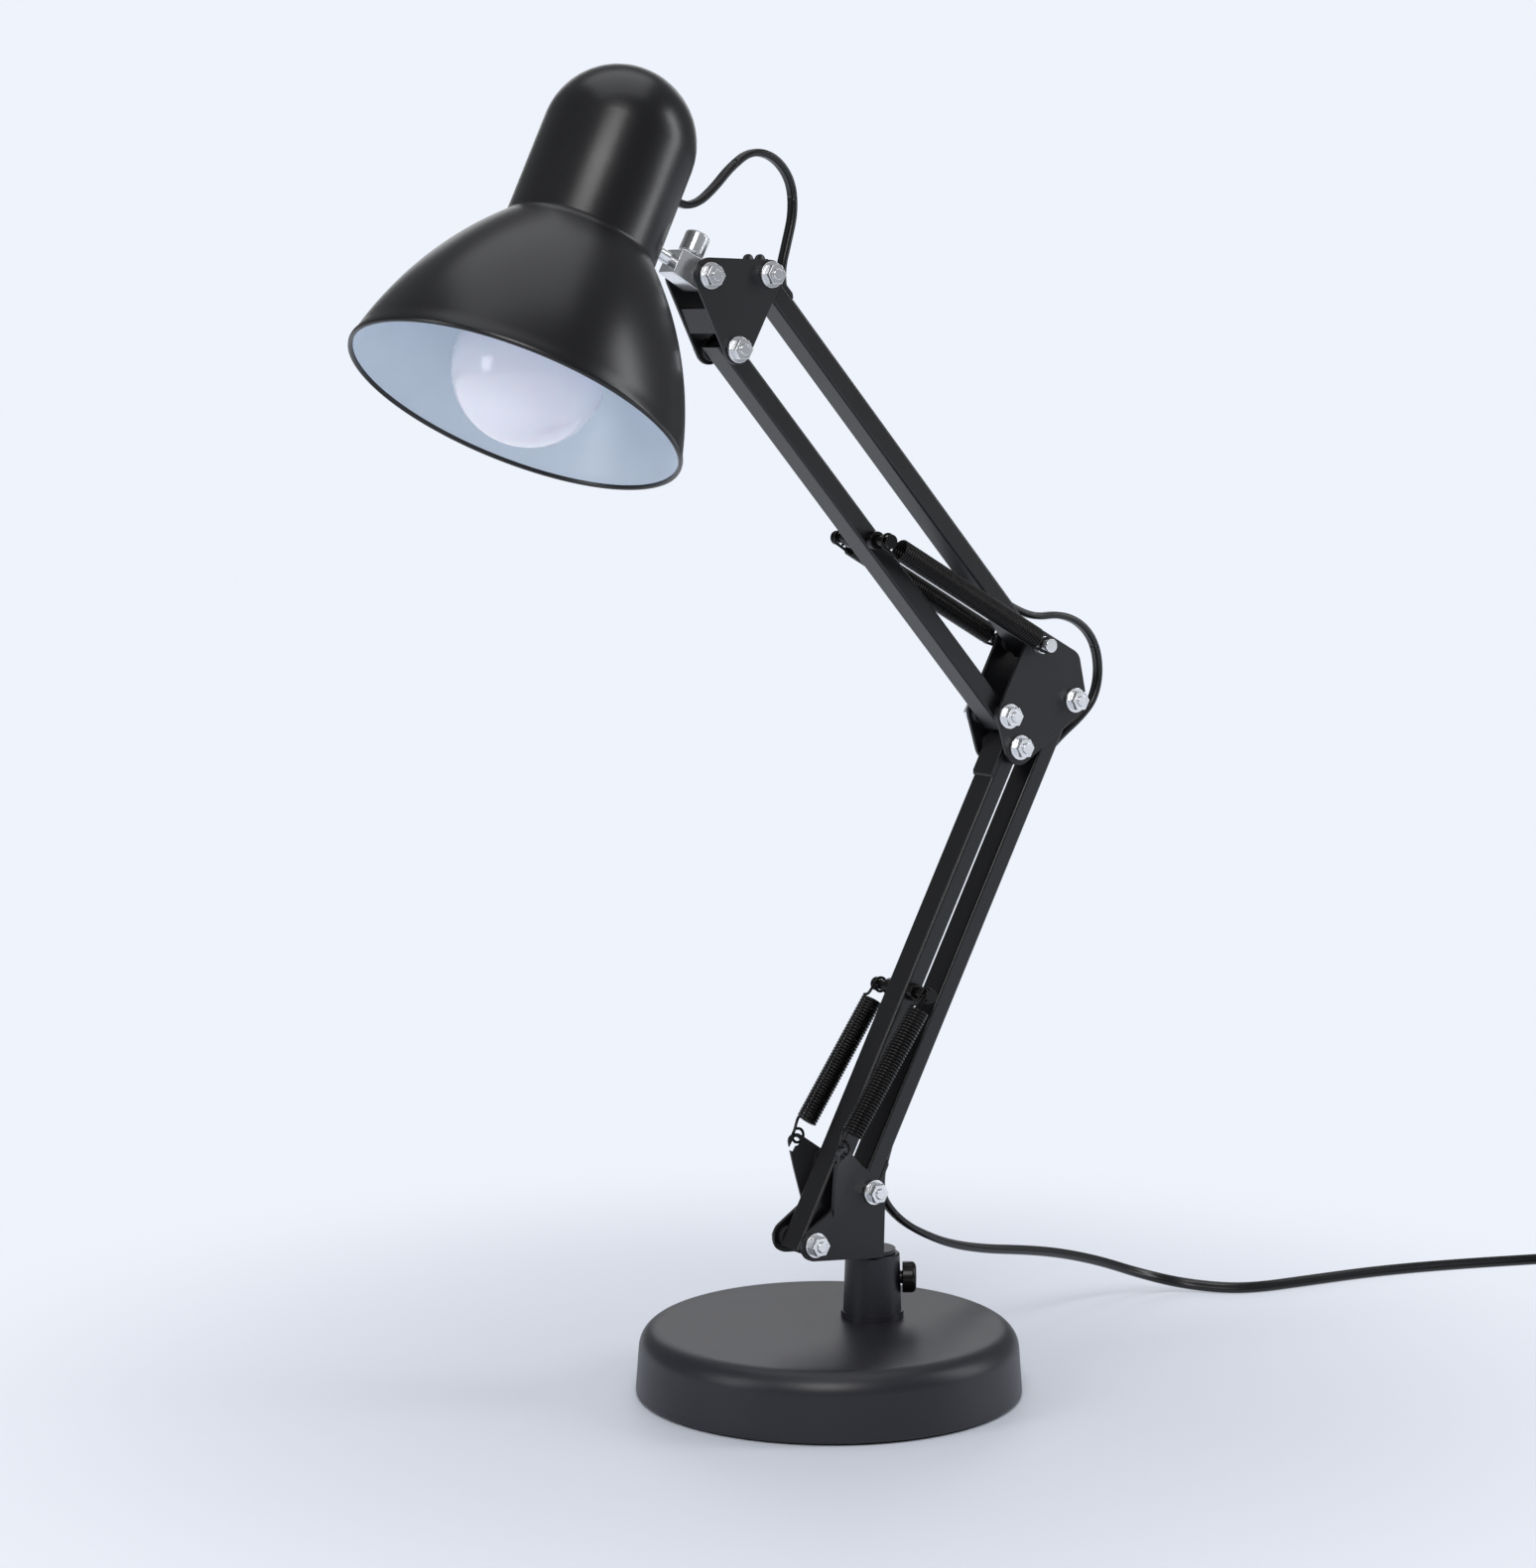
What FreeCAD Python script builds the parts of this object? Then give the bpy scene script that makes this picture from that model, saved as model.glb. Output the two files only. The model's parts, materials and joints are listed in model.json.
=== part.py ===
"""Accordion desk lamp: two sprung parallelogram arms on a weighted round base.

Millimetres, +Z up, origin in the middle of the base's underside. The arms lie in the XZ plane,
the shade points to -X, and the lamp stands in the pose that it is used in.
"""
import FreeCAD, Part
import Sketcher
import math
import os
import types

V = FreeCAD.Vector

SIZES = {
    # base
    "base_dia": 150.0, "base_top_dia": 131.0, "base_height": 26.5, "base_wall": 1.5,
    "base_draft": 1.2, "base_shoulder": 8.5, "pad_thick": 2.2, "pad_inset": 2.2,
    "weight_gap": 0.4, "weight_height": 13.0,
    # post
    "post_at": 21.0, "post_top": 51.9, "post_dia": 21.3, "post_foot_dia": 24.5, "post_foot": 2.6,
    "post_flare": 0.75, "socket_depth": 19.0, "bolt_dia": 6.0, "bolt_head": 4.5,
    # swivel and clamp
    "swivel_dia": 10.0, "swivel_neck_dia": 7.0, "swivel_gap": 0.3, "groove_depth": 0.8,
    "groove_width": 7.0, "clamp_height": 42.0, "clamp_angle": -36.0, "clamp_dia": 5.0,
    "knob_dia": 12.2, "knob_length": 5.4,
    # arms
    "arm_lower": 210.0, "arm_upper": 192.0, "lower_angle": 62.0, "upper_angle": 132.1,
    "bar_width": 12.0, "bar_depth": 7.75, "bar_wall": 1.0, "bar_corner": 1.2, "bar_tail": 4.5,
    # sheet brackets
    "sheet": 1.5, "bracket_inside": 17.0, "front_foot_x": -13.7, "front_foot_z": 61.5,
    "rear_step_x": 27.8, "rear_step_z": 17.05, "elbow_step_x": 5.55, "elbow_step_z": 12.6,
    "link_step_x": 14.8, "link_step_z": 27.4, "tilt_step_x": 12.3, "tilt_step_z": 26.75,
    "web_edge": 19.1, "web_height": 17.7, "tab_radius": 9.0, "tab_reach": 12.0,
    # fasteners
    "pivot_dia": 4.0, "nut_flats": 7.0, "nut_height": 3.2, "head_height": 2.8, "thread_end": 0.9,
    "washer_dia": 9.8, "washer_thick": 1.0, "running_fit": 0.06, "bush_wall": 1.0,
    "bush_flange_dia": 8.6, "side_gap": 0.1, "open_play": 0.15,
    # springs
    "spring_dia": 8.5, "spring_wire": 1.2, "spring_side": 15.0, "spring_shank": 6.5,
    "loop_play": 0.15, "lower_pin_at": 105.0, "upper_pin_at": 95.0, "pin_reach": 18.0,
    "pin_head_dia": 5.4, "pin_head": 0.9, "collar_dia": 7.0, "collar_length": 3.0,
    "ear_along": 24.8, "ear_out": 15.2, "hook_outer": 3.2, "hook_bore": 1.7, "hook_mouth": 2.2,
    # knuckle and rod
    "knuckle_width": 10.0, "knuckle_radius": 5.5, "knuckle_reach": 12.0, "rod_angle": 152.5,
    "rod_dia": 4.8, "rod_reach": 50.0, "rod_start": 3.4, "thumb_at": 5.5, "thumb_dia": 9.5,
    "thumb_height": 8.5, "thumb_stud_dia": 4.0,
    # shade
    "rim_dia": 125.0, "neck_dia": 56.6, "neck_start": 66.0, "dome_start": 107.4,
    "bell_radius": 137.3, "shade_wall": 1.0, "rod_height": 79.9, "neck_angle": 61.3,
    "shade_swivel": 5.9, "rod_nut_dia": 9.0, "rod_nut_height": 4.0, "cord_hole_up": 20.4,
    "grommet_dia": 8.8, "grommet_lip": 1.0,
    # lamp holder and bulb
    "holder_dia": 37.0, "holder_length": 33.0, "bridge_over_rod": 8.1, "holder_boss_dia": 16.0,
    "holder_boss": 16.0, "cap_dia": 26.4, "cap_depth": 29.0, "bulb_dia": 55.4,
    "bulb_centre": 15.0, "bulb_neck_at": 33.0, "glass_wall": 1.0, "bridge_gap": 0.3,
    "ring_nut_dia": 24.0, "ring_nut_height": 4.0,
    # mains lead
    "cord_dia": 4.0, "relief_length": 20.0, "relief_dia": 5.6, "relief_in": 12.0,
    "relief_out": 6.6, "relief_lean": 15.0, "cord_slot": 26.0, "cord_slot_width": 6.4,
    "coil_x": 384.0, "coil_y": -62.0, "coil_inner": 14.5, "coil_pitch": 4.65, "coil_rise": 4.7,
    "coil_start": 67.0, "coil_short": 0.18,
    "switch_length": 62.0, "switch_width": 26.0, "switch_height": 18.0, "rocker_length": 17.0,
    "plug_length": 34.0, "plug_width": 36.0, "plug_height": 15.0, "plug_pin_dia": 4.0,
    "plug_pin_length": 19.0, "plug_pin_pitch": 19.0,
}
COIL_TURNS = 4        # loops in each of the coil's two layers
SPRING_TURNS = 24     # whole curls of each spring

doc = FreeCAD.newDocument("desk_lamp")
sheet = doc.addObject("Spreadsheet::Sheet", "Sizes")
for row, (name, number) in enumerate(SIZES.items(), 1):
    sheet.set("A%d" % row, name)
    sheet.set("B%d" % row, str(number))
    sheet.setAlias("B%d" % row, name)
doc.recompute()


class Size:
    """A number together with the sheet formula that gives it."""

    def __init__(self, value, formula):
        self.value = value
        self.formula = formula

    def joined(self, sign, other, value):
        return Size(value, "(%s %s %s)" % (self.formula, sign, as_size(other).formula))

    def __add__(self, other):
        return self.joined("+", other, self.value + as_size(other).value)

    def __sub__(self, other):
        return self.joined("-", other, self.value - as_size(other).value)

    def __mul__(self, other):
        return self.joined("*", other, self.value * as_size(other).value)

    def __truediv__(self, other):
        return self.joined("/", other, self.value / as_size(other).value)

    def __radd__(self, other):
        return as_size(other) + self

    def __rsub__(self, other):
        return as_size(other) - self

    def __rmul__(self, other):
        return as_size(other) * self

    def __neg__(self):
        return as_size(0) - self


def as_size(number):
    return number if isinstance(number, Size) else Size(float(number), "(%.9f)" % number)


def cosine(angle):
    return Size(math.cos(math.radians(angle.value)), "cos(%s)" % angle.formula)


def sine(angle):
    return Size(math.sin(math.radians(angle.value)), "sin(%s)" % angle.formula)


s = types.SimpleNamespace(**{name: Size(number, "Sizes." + name) for name, number in SIZES.items()})


# ---------------------------------------------------------------- places

def offset(point, along, across, angle):
    """The point that lies along and across (to the left of) a direction in the arm's plane."""
    x = point[0] + along * cosine(angle) - across * sine(angle)
    z = point[1] + along * sine(angle) + across * cosine(angle)
    return x, z


FRONT_FOOT = (s.front_foot_x, s.front_foot_z)
REAR_FOOT = (s.front_foot_x + s.rear_step_x, s.front_foot_z + s.rear_step_z)
FRONT_TOP = offset(FRONT_FOOT, s.arm_lower, 0, s.lower_angle)
REAR_TOP = offset(REAR_FOOT, s.arm_lower, 0, s.lower_angle)
UNDER_ROOT = (FRONT_TOP[0] - s.elbow_step_x, FRONT_TOP[1] + s.elbow_step_z)
TOP_ROOT = (UNDER_ROOT[0] + s.link_step_x, UNDER_ROOT[1] + s.link_step_z)
UNDER_END = offset(UNDER_ROOT, s.arm_upper, 0, s.upper_angle)
TOP_END = offset(TOP_ROOT, s.arm_upper, 0, s.upper_angle)
TILT = (UNDER_END[0] - s.tilt_step_x, UNDER_END[1] + s.tilt_step_z)
LOWER_PIN = offset(FRONT_FOOT, s.lower_pin_at, 0, s.lower_angle)
UPPER_PIN = offset(UNDER_ROOT, s.upper_pin_at, 0, s.upper_angle)
NECK = offset(TILT, s.rod_reach, 0, s.rod_angle)

PLATE_OUT = s.bracket_inside / 2 + s.sheet
HALF_BAR = s.bar_width / 2
CORD_R = s.cord_dia / 2


def numbers(point):
    return V(point[0].value, 0, point[1].value)


def arm_turn(angle):
    """The turn that lays local +X along a direction of the arm's plane."""
    return FreeCAD.Rotation(V(0, 1, 0), -angle.value)


ROD_TURN = arm_turn(s.rod_angle) * FreeCAD.Rotation(V(1, 0, 0), 180)
ROD_WAY = ROD_TURN.multVec(V(1, 0, 0))
SHADE_TURN = (FreeCAD.Rotation(ROD_WAY, s.shade_swivel.value)
              * FreeCAD.Rotation(V(0, 1, 0), 90 - s.neck_angle.value))


# ---------------------------------------------------------------- bodies and sketches

NODES = []


def body(label, point=None, turn=None, node=True):
    made = doc.addObject("PartDesign::Body", label)
    made.Label = label
    if point:
        made.Placement = FreeCAD.Placement(numbers(point), turn or FreeCAD.Rotation())
        made.setExpression("Placement.Base.x", point[0].formula)
        made.setExpression("Placement.Base.z", point[1].formula)
    elif turn:
        made.Placement.Rotation = turn
    if node:
        NODES.append(made)
    return made


def plane(owner, role):
    return [o for o in owner.Origin.OriginFeatures if o.Role == role][0]


def tangent_line(a, b):
    """The straight run that leaves circle a and meets circle b, outside them on a left-hand walk."""
    along = b[0] - a[0]
    along.z = 0
    reach = along.Length
    way = along / reach
    right = V(way.y, -way.x, 0)
    lean = (a[1] - b[1]) / reach
    normal = right * math.sqrt(1 - lean * lean) + way * lean
    return a[0] + normal * a[1], b[0] + normal * b[1], normal


def place(sketch, geometry, vertex, point):
    """Ties one vertex of a sketch to its place."""
    for kind, size in (("DistanceX", point[0]), ("DistanceY", point[1])):
        n = sketch.addConstraint(Sketcher.Constraint(kind, -1, 1, geometry, vertex, size.value))
        sketch.setExpression("Constraints[%d]" % n, size.formula)


def set_radius(sketch, geometry, size):
    n = sketch.addConstraint(Sketcher.Constraint("Radius", geometry, size.value))
    sketch.setExpression("Constraints[%d]" % n, size.formula)


def draw_lobes(sketch, corners):
    """A closed outline round circles (x, y, radius), walked anticlockwise. A hollow has radius < 0."""
    rows = [[as_size(v) for v in corner] for corner in corners]
    discs = [(V(x.value, y.value, 0), r.value) for x, y, r in rows]
    runs = [tangent_line(discs[i - 1], discs[i]) for i in range(len(discs))]
    lines = [sketch.addGeometry(Part.LineSegment(start, end)) for start, end, normal in runs]
    for i, (centre, radius) in enumerate(discs):
        after = (i + 1) % len(discs)
        sign = 1 if radius > 0 else -1
        turn_in = math.atan2(sign * runs[i][2].y, sign * runs[i][2].x)
        turn_out = math.atan2(sign * runs[after][2].y, sign * runs[after][2].x)
        first, last = (turn_in, turn_out) if sign > 0 else (turn_out, turn_in)
        if last < first:
            last += 2 * math.pi
        circle = Part.Circle(centre, V(0, 0, 1), abs(radius))
        arc = sketch.addGeometry(Part.ArcOfCircle(circle, first, last))
        enter, leave = (1, 2) if sign > 0 else (2, 1)
        sketch.addConstraint(Sketcher.Constraint("Tangent", lines[i], 2, arc, enter))
        sketch.addConstraint(Sketcher.Constraint("Tangent", lines[after], 1, arc, leave))
        place(sketch, arc, 3, rows[i][:2])
        set_radius(sketch, arc, rows[i][2] if sign > 0 else -rows[i][2])


def draw_profile(sketch, points):
    """A closed outline through points (x, y) or (x, y, radius of the arc that leads there).

    A positive radius bulges to the right of the walk, a negative one to the left."""
    rows = [[as_size(v) for v in point] for point in points]
    spots = [V(row[0].value, row[1].value, 0) for row in rows]
    made = []
    for i, row in enumerate(rows):
        start, end = spots[i - 1], spots[i]
        if len(row) == 2:
            made.append((sketch.addGeometry(Part.LineSegment(start, end)), 1, 2))
            continue
        radius = row[2].value
        half = (end - start) / 2
        right = V(half.y, -half.x, 0).normalize() * math.copysign(1, radius)
        rise = abs(radius) - math.sqrt(radius * radius - half.Length ** 2)
        middle = start + half + right * rise
        curve = Part.Arc(start, middle, end)
        arc = sketch.addGeometry(curve)
        made.append((arc, 1, 2) if radius > 0 else (arc, 2, 1))
        set_radius(sketch, arc, row[2] if radius > 0 else -row[2])
    for i, row in enumerate(rows):
        after = made[(i + 1) % len(made)]
        sketch.addConstraint(Sketcher.Constraint("Coincident", made[i][0], made[i][2],
                                                 after[0], after[1]))
        place(sketch, after[0], after[1], row[:2])


def draw_circle(sketch, x, y, radius):
    x, y, radius = as_size(x), as_size(y), as_size(radius)
    ring = sketch.addGeometry(Part.Circle(V(x.value, y.value, 0), V(0, 0, 1), radius.value))
    place(sketch, ring, 3, (x, y))
    set_radius(sketch, ring, radius)


def draw_box(sketch, x0, y0, x1, y1):
    draw_profile(sketch, [(x0, y0), (x1, y0), (x1, y1), (x0, y1)])


def new_sketch(owner, name, role="XZ_Plane", away=None, turn=None):
    """A sketch on one of the body's planes, moved off it along its normal by away."""
    made = owner.newObject("Sketcher::SketchObject", name)
    made.AttachmentSupport = [(plane(owner, role), "")]
    made.MapMode = "FlatFace"
    if turn:
        made.AttachmentOffset = turn
    if away is not None:
        made.AttachmentOffset.Base.z = away.value
        made.setExpression("AttachmentOffset.Base.z", away.formula)
    return made


def pad(owner, sketch, length, name="Pad", both=False, back=False):
    made = owner.newObject("PartDesign::Pad", name)
    made.Profile = sketch
    made.setExpression("Length", as_size(length).formula)
    made.SideType = "Symmetric" if both else "One side"
    made.Reversed = back
    return made


def cut(owner, sketch, length, name="Pocket", both=False, back=False):
    made = owner.newObject("PartDesign::Pocket", name)
    made.Profile = sketch
    made.setExpression("Length", as_size(length).formula)
    made.SideType = "Symmetric" if both else "One side"
    made.Reversed = back
    return made


def drill(owner, name, radius, depth, start, turn):
    """A round hole from a point of the body, along the turned Z axis."""
    made = owner.newObject("PartDesign::SubtractiveCylinder", name)
    made.setExpression("Radius", as_size(radius).formula)
    made.setExpression("Height", as_size(depth).formula)
    made.Placement = FreeCAD.Placement(V(), turn)
    for axis, size in zip("xyz", start):
        made.setExpression("Placement.Base." + axis, as_size(size).formula)
    return made


def turned(label, profile, point=None, turn=None, node=True):
    """A turned piece: its profile is revolved about its own Z axis."""
    owner = body(label, point, turn, node)
    shape = new_sketch(owner, label + "_profile")
    draw_profile(shape, profile)
    made = owner.newObject("PartDesign::Revolution", label + "_turn")
    made.Profile = shape
    made.ReferenceAxis = (shape, ["V_Axis"])
    made.Angle = 360
    return owner


# ---------------------------------------------------------------- primitives and groups

ACROSS = FreeCAD.Rotation(V(1, 0, 0), -90)


def bind_place(made, x, y, z):
    for axis, size in zip("xyz", (x, y, z)):
        made.setExpression("Placement.Base." + axis, as_size(size).formula)


def pin_y(name, point, y0, length, radius):
    """A cylinder that lies across the arm, from y0 towards +Y."""
    made = doc.addObject("Part::Cylinder", name)
    made.setExpression("Radius", as_size(radius).formula)
    made.setExpression("Height", as_size(length).formula)
    made.Placement = FreeCAD.Placement(V(), ACROSS)
    bind_place(made, point[0], y0, point[1])
    return made


def hex_y(name, point, y0, length):
    made = doc.addObject("Part::Prism", name)
    made.Polygon = 6
    made.setExpression("Circumradius", (s.nut_flats / (2 * cosine(as_size(30)))).formula)
    made.setExpression("Height", as_size(length).formula)
    made.Placement = FreeCAD.Placement(V(), ACROSS)
    bind_place(made, point[0], y0, point[1])
    return made


def minus(name, base, tool):
    made = doc.addObject("Part::Cut", name)
    made.Base = base
    made.Tool = tool
    return made


def plus(name, pieces):
    made = doc.addObject("Part::MultiFuse", name)
    made.Shapes = pieces
    return made


def group(label, pieces):
    """Like pieces that share one node, each a solid of its own."""
    made = doc.addObject("Part::Compound", label)
    made.Label = label
    made.Links = pieces
    NODES.append(made)
    return made


def ring_y(name, point, y0, length, outer, inner):
    return minus(name, pin_y(name + "_disc", point, y0, length, outer),
                 pin_y(name + "_hole", point, y0 - 1, as_size(length) + 2, inner))


PIVOT_R = s.pivot_dia / 2
BORE_R = PIVOT_R + s.running_fit
STACK = PLATE_OUT + s.washer_thick


def bolt(name, point):
    """A hexagon-head bolt across a bracket, its head on the far side."""
    end = STACK + s.nut_height + s.thread_end
    shank = pin_y(name + "_shank", point, -end, end + STACK + s.head_height / 2, PIVOT_R)
    return plus(name, [shank, hex_y(name + "_head", point, STACK, s.head_height)])


def nut(name, point):
    block = hex_y(name + "_block", point, -(STACK + s.nut_height), s.nut_height)
    hole = pin_y(name + "_thread", point, -(STACK + s.nut_height + 1), s.nut_height + 2, BORE_R)
    return minus(name, block, hole)


def washers(name, point):
    far = ring_y(name + "_far", point, PLATE_OUT, s.washer_thick, s.washer_dia / 2, BORE_R)
    near = ring_y(name + "_near", point, -STACK, s.washer_thick, s.washer_dia / 2, BORE_R)
    return [far, near]


def bracket_fasteners(prefix, points, extra=()):
    group(prefix + "_bolts", [bolt("%s_bolt_%d" % (prefix, i), p) for i, p in enumerate(points)])
    group(prefix + "_nuts", [nut("%s_nut_%d" % (prefix, i), p) for i, p in enumerate(points)])
    rings = [ring for i, p in enumerate(points)
             for ring in washers("%s_washer_%d" % (prefix, i), p)]
    group(prefix + "_washers", rings + list(extra))


def bush_half(name, point, side, play):
    """Half of a flanged nylon bush: a sleeve in the bar and a flange that fills the side gap."""
    flange_out = s.bracket_inside / 2 - s.side_gap
    sleeve_from = s.side_gap if side > 0 else -flange_out
    flange_from = HALF_BAR + 0.02 if side > 0 else -flange_out
    sleeve = pin_y(name + "_sleeve", point, sleeve_from, flange_out - s.side_gap,
                   PIVOT_R + s.bush_wall)
    flange = pin_y(name + "_flange", point, flange_from, flange_out - HALF_BAR - 0.02,
                   s.bush_flange_dia / 2)
    bore = pin_y(name + "_bore", point, -flange_out - 1, 2 * flange_out + 2, BORE_R + play)
    return minus(name, plus(name + "_blank", [sleeve, flange]), bore)


def bushes(label, ends):
    """Bushes for the two ends of a bar. Each end is (pivot, extra play)."""
    halves = [bush_half("%s_%d%d" % (label, i, side > 0), point, side, play)
              for i, (point, play) in enumerate(ends) for side in (1, -1)]
    group(label, halves)


def spring_pin(label, point, collar_from):
    """A headed cross pin whose grooves carry the springs, with a collar at each side."""
    reach = s.pin_reach
    shank = pin_y(label + "_shank", point, -reach, 2 * reach, PIVOT_R)
    heads = [pin_y(label + "_head_far", point, reach - s.pin_head, s.pin_head, s.pin_head_dia / 2),
             pin_y(label + "_head_near", point, -reach, s.pin_head, s.pin_head_dia / 2)]
    collars = [ring_y(label + "_collar_far", point, collar_from, s.collar_length,
                      s.collar_dia / 2, PIVOT_R + 0.03),
               ring_y(label + "_collar_near", point, -(collar_from + s.collar_length),
                      s.collar_length, s.collar_dia / 2, PIVOT_R + 0.03)]
    group(label, [plus(label + "_pin", [shank] + heads)] + collars)


# ---------------------------------------------------------------- base

def base():
    edge = s.base_dia / 2
    top = s.base_height
    shoulder_z = top - s.base_shoulder
    side = edge - s.base_draft
    crown = s.base_top_dia / 2
    wall = s.base_wall
    outer_round = (side - crown + s.base_shoulder) / 2 + 0.5
    inner_round = outer_round * (1 - wall / (s.base_shoulder + 0.5))
    turned("base_shell", [
        (edge, 1), (side, shoulder_z), (crown, top, outer_round),
        (0, top), (0, top - wall), (crown - 0.6, top - wall),
        (side - wall, shoulder_z - 0.6, -inner_round), (edge - wall, 1)])
    shell = NODES[-1]
    bolt_hole(shell, s.bolt_dia / 2 + 0.1)
    gap = wall + s.weight_gap
    weight_top = s.pad_thick + s.weight_height
    turned("base_weight", [
        (edge - gap - 0.3, s.pad_thick), (edge - gap - 0.6, weight_top - 1.5),
        (edge - gap - 2.1, weight_top), (0, weight_top), (0, s.pad_thick)])
    weight = NODES[-1]
    boss = new_sketch(weight, "weight_boss", "XY_Plane", weight_top)
    draw_circle(boss, s.post_at, 0, s.post_foot_dia / 2 + 2)
    pad(weight, boss, top - wall - 0.1 - weight_top, "Boss")
    bolt_hole(weight, s.bolt_dia / 2 + 0.1)
    recess = new_sketch(weight, "weight_recess", "XY_Plane", s.pad_thick)
    draw_circle(recess, s.post_at, 0, s.bolt_dia + 2)
    cut(weight, recess, s.bolt_head + 1.5, "Recess", back=True)
    turned("base_pad", [(edge - s.pad_inset, 0), (edge - s.pad_inset, s.pad_thick),
                        (0, s.pad_thick), (0, 0)])


def bolt_hole(owner, radius):
    hole = new_sketch(owner, owner.Label + "_hole", "XY_Plane")
    draw_circle(hole, s.post_at, 0, radius)
    cut(owner, hole, s.base_height + 5, "Hole", back=True)


POST_POINT = (s.post_at, as_size(0))
CLAMP_TURN = (FreeCAD.Rotation(V(0, 0, 1), s.clamp_angle.value)
              * FreeCAD.Rotation(V(0, 1, 0), 90))


def post():
    foot = s.base_height
    top = s.post_top
    outer = s.post_dia / 2
    bore = s.swivel_dia / 2 + s.running_fit
    bolt_r = s.bolt_dia / 2 + s.running_fit
    turned("post", [
        (bolt_r, foot), (s.post_foot_dia / 2, foot), (s.post_foot_dia / 2, foot + s.post_foot),
        (outer + s.post_flare, foot + s.post_foot), (outer, top - 0.6), (outer - 0.6, top),
        (bore, top), (bore, top - s.socket_depth), (bolt_r, top - s.socket_depth)], POST_POINT)
    drill(NODES[-1], "ClampHole", s.clamp_dia / 2 + s.running_fit, s.post_dia,
          (0, 0, s.clamp_height), CLAMP_TURN)
    head = s.pad_thick + s.bolt_head
    washer_top = s.pad_thick + s.bolt_head + 1.5
    turned("post_bolt", [
        (0, s.pad_thick), (s.bolt_dia, s.pad_thick), (s.bolt_dia, head),
        (s.bolt_dia / 2, head), (s.bolt_dia / 2, top - s.socket_depth - 0.5),
        (0, top - s.socket_depth - 0.5)], POST_POINT)
    turned("post_bolt_washer", [
        (s.bolt_dia / 2 + s.running_fit, head), (s.bolt_dia + 1.5, head),
        (s.bolt_dia + 1.5, washer_top), (s.bolt_dia / 2 + s.running_fit, washer_top)], POST_POINT)


def swivel():
    """The turning spigot under the lower bracket's tab, riveted flush with it."""
    tab_low = s.post_top + s.swivel_gap
    pin = s.swivel_dia / 2
    low = s.post_top - s.socket_depth + s.swivel_gap
    half = s.groove_width / 2
    turned("swivel_pin", [
        (0, low), (pin, low), (pin, s.clamp_height - half),
        (pin - s.groove_depth, s.clamp_height - half),
        (pin - s.groove_depth, s.clamp_height + half), (pin, s.clamp_height + half),
        (pin, tab_low), (s.swivel_neck_dia / 2, tab_low),
        (s.swivel_neck_dia / 2, tab_low + s.sheet), (0, tab_low + s.sheet)], POST_POINT)
    owner = body("clamp_screw", (s.post_at, s.clamp_height), CLAMP_TURN)
    outline = new_sketch(owner, "clamp_outline")
    start = s.post_dia / 2 + s.post_flare + 0.3
    tip = pin - s.groove_depth + 0.3
    end = start + s.knob_length
    knob = s.knob_dia / 2
    draw_profile(outline, [
        (0, tip), (s.clamp_dia / 2, tip), (s.clamp_dia / 2, start), (knob, start),
        (knob, end - 1.6), (knob - 1.8, end, 2.2), (0, end)])
    made = owner.newObject("PartDesign::Revolution", "clamp_turn")
    made.Profile = outline
    made.ReferenceAxis = (outline, ["V_Axis"])
    made.Angle = 360


# ---------------------------------------------------------------- brackets

def bracket(label, outline, holes, web):
    """Two like sheet plates joined by a folded web: web is a box (x0, z0, x1, z1) or a profile."""
    owner = body(label)
    fold = new_sketch(owner, label + "_web_outline")
    draw_profile(fold, web)
    pad(owner, fold, 2 * PLATE_OUT, "Web", both=True)
    plate = new_sketch(owner, label + "_plate_outline", away=s.bracket_inside / 2)
    draw_lobes(plate, outline)
    for point in holes:
        draw_circle(plate, point[0], point[1], BORE_R)
    near = pad(owner, plate, s.sheet, "Plate")
    far = mirror(owner, [near], "FarPlate")
    owner.Tip = far
    return owner


def mirror(owner, features, name):
    made = owner.newObject("PartDesign::Mirrored", name)
    made.Originals = features
    made.MirrorPlane = (plane(owner, "XZ_Plane"), [""])
    owner.Tip = made
    return made


def lower_bracket():
    tab_low = s.post_top + s.swivel_gap
    inside = s.web_edge - s.sheet
    corner = 2.2
    web = [(inside, tab_low), (s.web_edge, tab_low), (s.web_edge, tab_low + s.web_height),
           (inside, tab_low + s.web_height)]
    outline = [
        (FRONT_FOOT[0], FRONT_FOOT[1], 6.3), (s.web_edge - corner, tab_low + corner, corner),
        (REAR_FOOT[0], REAR_FOOT[1], 5.6), (REAR_FOOT[0] - 11.5, REAR_FOOT[1] + 12, 2.6),
        (REAR_FOOT[0] - 29.6, REAR_FOOT[1] + 5.9, -14)]
    owner = bracket("lower_bracket", outline, [FRONT_FOOT, REAR_FOOT], web)
    tab = new_sketch(owner, "tab_outline", "XY_Plane", tab_low)
    left = s.post_at - s.tab_reach
    draw_lobes(tab, [(left + 1, s.tab_radius - 1, 1), (left + 1, 1 - s.tab_radius, 1),
                     (s.post_at, 0, s.tab_radius)])
    pad(owner, tab, s.sheet, "Tab")
    rivet = new_sketch(owner, "rivet_hole", "XY_Plane", tab_low)
    draw_circle(rivet, s.post_at, 0, s.swivel_neck_dia / 2 + s.running_fit)
    cut(owner, rivet, s.sheet, "RivetHole", back=True)
    ears(owner)


def ear_tilt():
    """How far the ears lean out, so that their hooks meet the springs' middle planes."""
    rise = s.spring_side - s.bracket_inside / 2 - s.sheet / 2
    return math.degrees(math.asin(rise.value / s.ear_out.value))


EAR_FOLD = (FRONT_FOOT[0] + 6.6, FRONT_FOOT[1] + 6.7)
EAR_FOLD_TOP = (REAR_FOOT[0] - 6.1, REAR_FOOT[1] + 12.9)


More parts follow.
